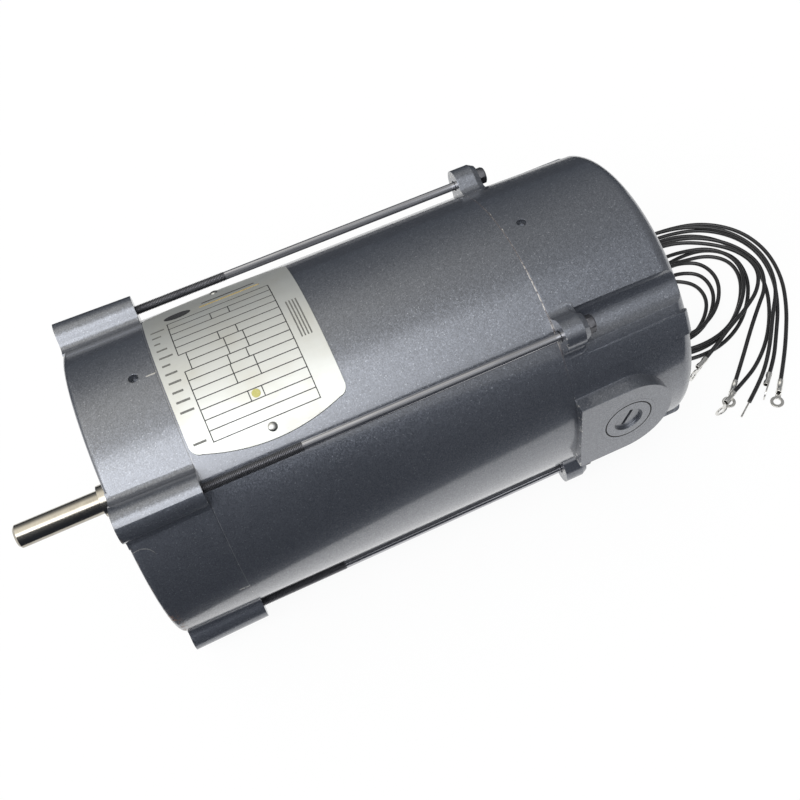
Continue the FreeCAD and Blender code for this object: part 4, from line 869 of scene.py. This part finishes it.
# Leads: six limp stranded wires in black insulation, two from the brushes and four from the field.
# They drop from the grommet to the table and lie there in loose turns, most with a ring terminal.
ON_TABLE = -0.0764
ON_ONE_WIRE = -0.0735
ON_TWO_WIRES = -0.0706
LEAD_ROUTES = {
    "lead_1": [
        (-0.285, -0.028, -0.0411), (-0.302, -0.028, -0.0412), (-0.318, -0.03, -0.0455),
        (-0.334, -0.036, -0.0545), (-0.349, -0.044, -0.064), (-0.364, -0.0485, -0.0698),
        (-0.377, -0.042, ON_TWO_WIRES), (-0.379, -0.026, ON_TWO_WIRES), (-0.3695, -0.01, ON_TWO_WIRES),
        (-0.355, 0.001, ON_TWO_WIRES), (-0.338, 0.0055, ON_TWO_WIRES), (-0.321, 0.0, ON_TWO_WIRES),
        (-0.3095, -0.014, ON_TWO_WIRES), (-0.308, -0.034, ON_TWO_WIRES), (-0.317, -0.052, ON_TWO_WIRES),
        (-0.332, -0.064, ON_TWO_WIRES), (-0.351, -0.068, ON_TWO_WIRES), (-0.372, -0.066, ON_TWO_WIRES),
        (-0.39, -0.055, ON_TWO_WIRES), (-0.403, -0.04, ON_TWO_WIRES), (-0.406, -0.022, ON_TWO_WIRES),
        (-0.396, -0.0065, ON_TWO_WIRES), (-0.379, 0.004, ON_TWO_WIRES), (-0.362, 0.0115, -0.071),
        (-0.3485, 0.0185, -0.0726), (-0.3385, 0.023, -0.0736)],
    "lead_2": [
        (-0.285, -0.0255, -0.04255), (-0.302, -0.025, -0.043), (-0.3165, -0.0275, -0.0485),
        (-0.331, -0.033, -0.0585), (-0.346, -0.04, -0.0685), (-0.3615, -0.0435, -0.073),
        (-0.3735, -0.036, ON_ONE_WIRE), (-0.3725, -0.0195, ON_ONE_WIRE), (-0.361, -0.005, ON_ONE_WIRE),
        (-0.346, 0.0045, ON_ONE_WIRE), (-0.3295, 0.006, ON_ONE_WIRE), (-0.314, -0.0005, ON_ONE_WIRE),
        (-0.305, -0.017, ON_ONE_WIRE), (-0.3055, -0.037, ON_ONE_WIRE), (-0.315, -0.054, ON_ONE_WIRE),
        (-0.33, -0.0665, ON_ONE_WIRE), (-0.349, -0.0725, ON_ONE_WIRE), (-0.371, -0.072, ON_ONE_WIRE),
        (-0.391, -0.064, ON_ONE_WIRE), (-0.4055, -0.048, ON_ONE_WIRE), (-0.411, -0.027, ON_ONE_WIRE),
        (-0.403, -0.008, ON_ONE_WIRE), (-0.389, 0.004, ON_ONE_WIRE), (-0.374, 0.0175, -0.074),
        (-0.3585, 0.0325, -0.0754), (-0.3455, 0.0445, -0.076)],
    "lead_3": [
        (-0.285, -0.0255, -0.04545), (-0.302, -0.0255, -0.046), (-0.316, -0.029, -0.053),
        (-0.33, -0.036, -0.064), (-0.3435, -0.0415, -0.073), (-0.3575, -0.0415, ON_TABLE),
        (-0.3675, -0.032, ON_TABLE), (-0.3665, -0.0175, ON_TABLE), (-0.3555, -0.0045, ON_TABLE),
        (-0.341, 0.0035, ON_TABLE), (-0.325, 0.0025, ON_TABLE), (-0.3125, -0.006, ON_TABLE),
        (-0.3065, -0.024, ON_TABLE), (-0.309, -0.044, ON_TABLE), (-0.32, -0.06, ON_TABLE),
        (-0.336, -0.071, ON_TABLE), (-0.356, -0.0765, ON_TABLE), (-0.377, -0.0755, ON_TABLE),
        (-0.394, -0.067, ON_TABLE), (-0.406, -0.0505, ON_TABLE), (-0.4095, -0.0305, ON_TABLE),
        (-0.405, -0.0095, ON_TABLE), (-0.394, 0.01, ON_TABLE), (-0.3795, 0.0275, ON_TABLE),
        (-0.363, 0.0405, ON_TABLE), (-0.349, 0.0475, -0.0754), (-0.3388, 0.0523, -0.0734)],
    "lead_4": [
        (-0.285, -0.0305, -0.04255), (-0.304, -0.032, -0.0435), (-0.32, -0.0385, -0.0495),
        (-0.336, -0.0485, -0.059), (-0.353, -0.057, -0.069), (-0.374, -0.059, ON_ONE_WIRE),
        (-0.392, -0.052, ON_ONE_WIRE), (-0.4, -0.036, ON_ONE_WIRE), (-0.394, -0.0175, ON_ONE_WIRE),
        (-0.38, -0.0015, ON_ONE_WIRE), (-0.362, 0.0105, ON_ONE_WIRE), (-0.3425, 0.014, ON_ONE_WIRE),
        (-0.3235, 0.0105, ON_ONE_WIRE), (-0.3065, -0.001, ON_ONE_WIRE), (-0.2985, -0.021, ON_ONE_WIRE),
        (-0.3015, -0.044, ON_ONE_WIRE), (-0.314, -0.064, ON_ONE_WIRE), (-0.3315, -0.0775, ON_ONE_WIRE),
        (-0.355, -0.083, ON_ONE_WIRE), (-0.382, -0.0795, ON_ONE_WIRE), (-0.403, -0.068, ON_ONE_WIRE),
        (-0.415, -0.0485, ON_ONE_WIRE), (-0.4165, -0.026, ON_ONE_WIRE), (-0.408, -0.0035, ON_ONE_WIRE),
        (-0.393, 0.0135, ON_ONE_WIRE), (-0.3795, 0.0305, ON_ONE_WIRE), (-0.367, 0.044, -0.0752),
        (-0.3548, 0.0537, -0.0763), (-0.344, 0.061, -0.0761)],
    "lead_5": [
        (-0.285, -0.0305, -0.04545), (-0.303, -0.031, -0.046), (-0.318, -0.037, -0.0515),
        (-0.334, -0.046, -0.0615), (-0.351, -0.0525, -0.071), (-0.37, -0.0535, -0.076),
        (-0.387, -0.0505, ON_TABLE), (-0.397, -0.0395, ON_TABLE), (-0.3955, -0.024, ON_TABLE),
        (-0.384, -0.007, ON_TABLE), (-0.368, 0.0065, ON_TABLE), (-0.35, 0.014, ON_TABLE),
        (-0.3305, 0.0135, ON_TABLE), (-0.314, 0.0055, ON_TABLE), (-0.302, -0.011, ON_TABLE),
        (-0.3, -0.034, ON_TABLE), (-0.3095, -0.0555, ON_TABLE), (-0.3265, -0.0715, ON_TABLE),
        (-0.3485, -0.0795, ON_TABLE), (-0.3735, -0.0795, ON_TABLE), (-0.3965, -0.0725, ON_TABLE),
        (-0.412, -0.0565, ON_TABLE), (-0.4175, -0.0365, ON_TABLE), (-0.413, -0.0135, ON_TABLE),
        (-0.4015, 0.008, ON_TABLE), (-0.3865, 0.027, ON_TABLE), (-0.3742, 0.042, -0.0753),
        (-0.3648, 0.0505, -0.0736)],
    "lead_6": [
        (-0.285, -0.028, -0.0469), (-0.303, -0.0285, -0.0475), (-0.318, -0.033, -0.055),
        (-0.332, -0.0415, -0.066), (-0.3475, -0.0515, -0.0743), (-0.368, -0.058, ON_TABLE),
        (-0.389, -0.056, ON_TABLE), (-0.402, -0.0425, ON_TABLE), (-0.4, -0.023, ON_TABLE),
        (-0.388, -0.0045, ON_TABLE), (-0.371, 0.0105, ON_TABLE), (-0.351, 0.0185, ON_TABLE),
        (-0.3295, 0.018, ON_TABLE), (-0.31, 0.009, ON_TABLE), (-0.2975, -0.01, ON_TABLE),
        (-0.296, -0.035, ON_TABLE), (-0.306, -0.058, ON_TABLE), (-0.3245, -0.0755, ON_TABLE),
        (-0.347, -0.084, ON_TABLE), (-0.375, -0.084, ON_TABLE), (-0.4, -0.0775, ON_TABLE),
        (-0.4175, -0.06, ON_TABLE), (-0.423, -0.037, ON_TABLE), (-0.418, -0.012, ON_TABLE),
        (-0.406, 0.0105, ON_TABLE), (-0.3905, 0.0315, ON_TABLE), (-0.378, 0.0465, ON_TABLE),
        (-0.369, 0.0565, -0.07605)],
}
LEAD_RADIUS = 0.00125
TERMINAL_ROLLS = {"lead_1": 90, "lead_2": 0, "lead_3": 50, "lead_5": 90, "lead_6": 0}
BARREL_LENGTH = 0.009
BARREL_RADIUS = 0.0017
BARREL_BORE = 0.00128
BARREL_STEPS = 12
RING_CENTRE = 0.0154
RING_RADIUS = 0.004
RING_HOLE = 0.00215
RING_THICKNESS = 0.0008
TONGUE_HALF_WIDTH = 0.0016
TONGUE_START = 0.0062
TONGUE_LEAN = 1.5
RING_UP = Matrix(((0, -1, 0), (0, 0, 1), (1, 0, 0))).to_4x4()


def insulation(name):
    """Black vinyl with a satin skin, a little dusty and rubbed."""
    finish = Finish(name)
    dusty = finish.noise(0.004, 4)
    drawn = finish.noise(0.0012, 2)
    return finish.close(
        Base_Color=finish.mix(dusty.rise(0.5, 0.8) * 0.6, (0.011, 0.011, 0.012), (0.035, 0.035, 0.036)),
        Roughness=0.3 + dusty * 0.2,
        Normal=finish.bump(drawn, 0.00003, finish.node("ShaderNodeNewGeometry", {}, {}, "Normal")),
    )


def lead_end(route, roll):
    """Frame at a lead's free end: local X runs on along the lead, turned about it by the roll."""
    before, tip = [Vector(point) for point in route[-2:]]
    heading = math.atan2(tip.y - before.y, tip.x - before.x)
    turn = Matrix.Rotation(heading, 4, "Z") @ Matrix.Rotation(math.radians(roll), 4, "X")
    return Matrix.Translation(tip) @ turn


def crimped(along, radius):
    """Barrel wall pressed in on its top half way along, where the crimping tool bit."""
    bite = max(0.0, 1 - abs(along - BARREL_LENGTH * 0.5) / (BARREL_LENGTH * 0.24))
    depth = 0.32 * bite * (2 - bite)
    return lambda turn: radius * (1 - depth * max(0.0, math.cos(turn - math.pi / 2)) ** 1.5)


def ring_terminal(spot):
    """Tinned ring terminal: a crimped barrel, a flat tongue and a ring with a stud hole."""
    wall = []
    for step in range(BARREL_STEPS + 1):
        along = BARREL_LENGTH * step / BARREL_STEPS
        wall.append((along, crimped(along, BARREL_RADIUS)))
    for step in range(BARREL_STEPS, -1, -1):
        along = BARREL_LENGTH * step / BARREL_STEPS
        wall.append((along, crimped(along, BARREL_BORE)))
    barrel = spun(wall, full_turn(24), spot, ring=True)
    reach = RING_CENTRE - TONGUE_START
    corner = math.atan2(TONGUE_HALF_WIDTH, reach)

    def outline(inset):
        def radius_at(turn):
            lean = abs((turn + math.pi) % (2 * math.pi) - math.pi)
            if lean <= corner:
                return reach / math.cos(lean) - inset
            tongue = TONGUE_HALF_WIDTH / math.sin(lean) if lean < TONGUE_LEAN else 0
            return max(RING_RADIUS, tongue) - inset
        return radius_at

    ease = RING_THICKNESS * 0.18
    top = RING_THICKNESS
    flat = [
        (ease, even(RING_HOLE)), (0.0, even(RING_HOLE + ease)),
        (0.0, outline(ease)), (ease, outline(0)),
        (top - ease, outline(0)), (top, outline(ease)),
        (top, even(RING_HOLE + ease)), (top - ease, even(RING_HOLE))]
    turns = sorted(full_turn(72) + [corner, 2 * math.pi - corner])
    facing = Matrix.Translation((RING_CENTRE, 0, -BARREL_RADIUS)) @ RING_UP
    return joined(barrel, spun(flat, turns, spot @ facing, ring=True))


STRANDS = 7
STRAND_RADIUS = 0.00017
STRAND_LENGTH = 0.012
STRAND_STEPS = 12
STRAND_TWIST = 0.9


def bare_strands(spot):
    """The fourth lead's conductor, stripped and loosely twisted."""
    shapes = []
    for strand in range(STRANDS):
        points = []
        for step in range(STRAND_STEPS + 1):
            share = step / STRAND_STEPS
            turn = 2 * math.pi * (strand / (STRANDS - 1) + STRAND_TWIST * share)
            out = 0 if strand == STRANDS - 1 else STRAND_RADIUS * (2.05 + 0.5 * share * share)
            local = Vector((STRAND_LENGTH * share, out * math.cos(turn), out * math.sin(turn)))
            points.append(spot @ local)
        shapes.append(wire(points, STRAND_RADIUS, 8))
    return joined(*shapes)


TIN = (0.78, 0.77, 0.74)
TIN_DULLING = (0.6, 0.58, 0.54)
tinned = metal("tinned_copper", TIN, 0.24, 0.0009, 0.00001, dulling=TIN_DULLING)
vinyl = insulation("black_lead_vinyl")
for label, route in LEAD_ROUTES.items():
    curve = bpy.data.curves.new(label + "_wire", "CURVE")
    curve.dimensions = "3D"
    curve.bevel_depth = LEAD_RADIUS
    curve.bevel_resolution = 4
    curve.resolution_u = 10
    curve.use_fill_caps = True
    curve.materials.append(vinyl)
    spline = curve.splines.new("NURBS")
    spline.points.add(len(route) - 1)
    for control, point in zip(spline.points, route):
        control.co = (*point, 1.0)
    spline.order_u = 3
    spline.use_endpoint_u = True
    lead = bpy.data.objects.new(label + "_wire", curve)
    bpy.context.scene.collection.objects.link(lead)
    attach(lead, "motor_frame")
    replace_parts(lead, label)
    if label in TERMINAL_ROLLS:
        spot = lead_end(route, TERMINAL_ROLLS[label])
        end = piece(label + "_ring_terminal", *ring_terminal(spot), tinned, "tinned_copper", crease=40)
        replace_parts(end, label + "_terminal")
    else:
        end = piece(label + "_bare_strands", *bare_strands(lead_end(route, 0)), tinned, "tinned_copper")
        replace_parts(end, label + "_strands")

# Studio: a white table in a light tent with a soft window above the viewer, and two dark cards that
# stand before and behind the motor for reflections only.
scene = bpy.context.scene
scene.view_settings.view_transform = "Standard"
TABLE_LEVEL = -FRAME_RADIUS


def plane(name, corners, material):
    mesh = bpy.data.meshes.new(name)
    mesh.from_pydata(corners, [], [(0, 1, 2, 3)])
    mesh.materials.append(material)
    obj = bpy.data.objects.new(name, mesh)
    scene.collection.objects.link(obj)
    return obj


def white_table(name):
    """White to the eye and in reflections, with a faint shadow; plain diffuse for other light."""
    finish = Finish(name)
    path = finish.node("ShaderNodeLightPath", {}, {}, "Is Camera Ray")
    seen = (path + path.out("Is Glossy Ray") + path.out("Is Transmission Ray")).rise(0.0, 1.0)
    glow = finish.node("ShaderNodeEmission", {}, {"Color": (1, 1, 1, 1), "Strength": 1.0})
    matt = finish.node("ShaderNodeBsdfDiffuse", {}, {"Color": (0.8, 0.8, 0.8, 1)})
    sheet = finish.node("ShaderNodeMixShader", {}, {0: seen * 0.92, 1: matt, 2: glow})
    finish.node("ShaderNodeOutputMaterial", {}, {"Surface": sheet})
    return finish.material


REACH = 6.0
TABLE_CORNERS = ((-REACH, -REACH), (REACH, -REACH), (REACH, REACH), (-REACH, REACH))
plane("table", [(x, y, TABLE_LEVEL) for x, y in TABLE_CORNERS], white_table("white_table"))
CARD_TOP = 0.09
FRONT_CARD = ((0.16, 0.03), (-0.6, 0.315))
BACK_CARD = ((0.4, -0.36), (-0.8, -0.36))


def dark_card(name, foot, colour):
    """An upright card that only shows in reflections."""
    finish = Finish(name)
    glow = finish.node("ShaderNodeEmission", {}, {"Color": opaque(colour), "Strength": 1.0})
    finish.node("ShaderNodeOutputMaterial", {}, {"Surface": glow})
    corners = [(x, y, TABLE_LEVEL) for x, y in foot] + [(x, y, CARD_TOP) for x, y in reversed(foot)]
    card = plane(name, corners, finish.material)
    card.visible_camera = False
    card.visible_shadow = False
    card.visible_diffuse = False
    card.visible_transmission = False


dark_card("front_card", FRONT_CARD, (0.03, 0.036, 0.05))
dark_card("back_card", BACK_CARD, (0.05, 0.055, 0.065))
BLACK = (0, 0, 0)
WHITE = (1, 1, 1)
DIM_HORIZON = (0.07, 0.085, 0.11)
WARM_ROOF = (1, 0.965, 0.88)
COOL_WINDOW = (0.9, 0.93, 1)


def light_tent(name):
    """White to the eye. To the motor: dim at the horizon, lighter overhead, with a soft cool window
    above the viewer, all fading towards the rear."""
    room = Finish(name, bpy.data.worlds)
    along, across, up = room.split(room.node("ShaderNodeTexCoord", {}, {}, "Generated"))
    tilt = room.node("ShaderNodeMath", {"operation": "ARCTAN2"}, {0: up, 1: across}) * math.degrees(1)
    front = along.rise(-0.5, 0.25)

    def light(amount, dark, colour, peak):
        low = room.node("ShaderNodeBackground", {}, {"Color": opaque(dark)})
        high = room.node("ShaderNodeBackground", {}, {"Color": opaque(colour), "Strength": peak})
        return room.node("ShaderNodeMixShader", {}, {0: amount, 1: low, 2: high})

    walls = light(tilt.near(80, 106) * (front * 0.35 + 0.65), DIM_HORIZON, WHITE, 0.42)
    roof = light(tilt.near(80, 70) * front, BLACK, WARM_ROOF, 1.12)
    window = light(tilt.near(58, 32) * front, BLACK, COOL_WINDOW, 2.95)
    lit = room.node("ShaderNodeAddShader", {}, {0: walls, 1: roof})
    lit = room.node("ShaderNodeAddShader", {}, {0: lit, 1: window})
    white = room.node("ShaderNodeBackground", {}, {"Color": opaque(WHITE)})
    seen = room.node("ShaderNodeLightPath", {}, {}, "Is Camera Ray")
    whole = room.node("ShaderNodeMixShader", {}, {0: seen, 1: lit, 2: white})
    room.node("ShaderNodeOutputWorld", {}, {"Surface": whole})
    return room.material


scene.world = light_tent("light_tent")

# Camera: at the photograph's viewing angle, above the near side. A small shift stands for its
# off-centre crop.
CAMERA_PLACE = (-0.0696, 0.3346, 0.4497)
CAMERA_TURN = (36.315, 5.907, 155.848)
CAMERA_LENS = 47.443
CAMERA_SHIFT = (-0.0317, -0.0181)
camera_data = bpy.data.cameras.new("photo_view")
camera_data.sensor_width = 36
camera_data.lens = CAMERA_LENS
camera_data.shift_x, camera_data.shift_y = CAMERA_SHIFT
camera_data.clip_start = 0.01
camera = bpy.data.objects.new("photo_view", camera_data)
camera.location = CAMERA_PLACE
camera.rotation_euler = Euler([math.radians(turn) for turn in CAMERA_TURN])
scene.collection.objects.link(camera)
scene.camera = camera
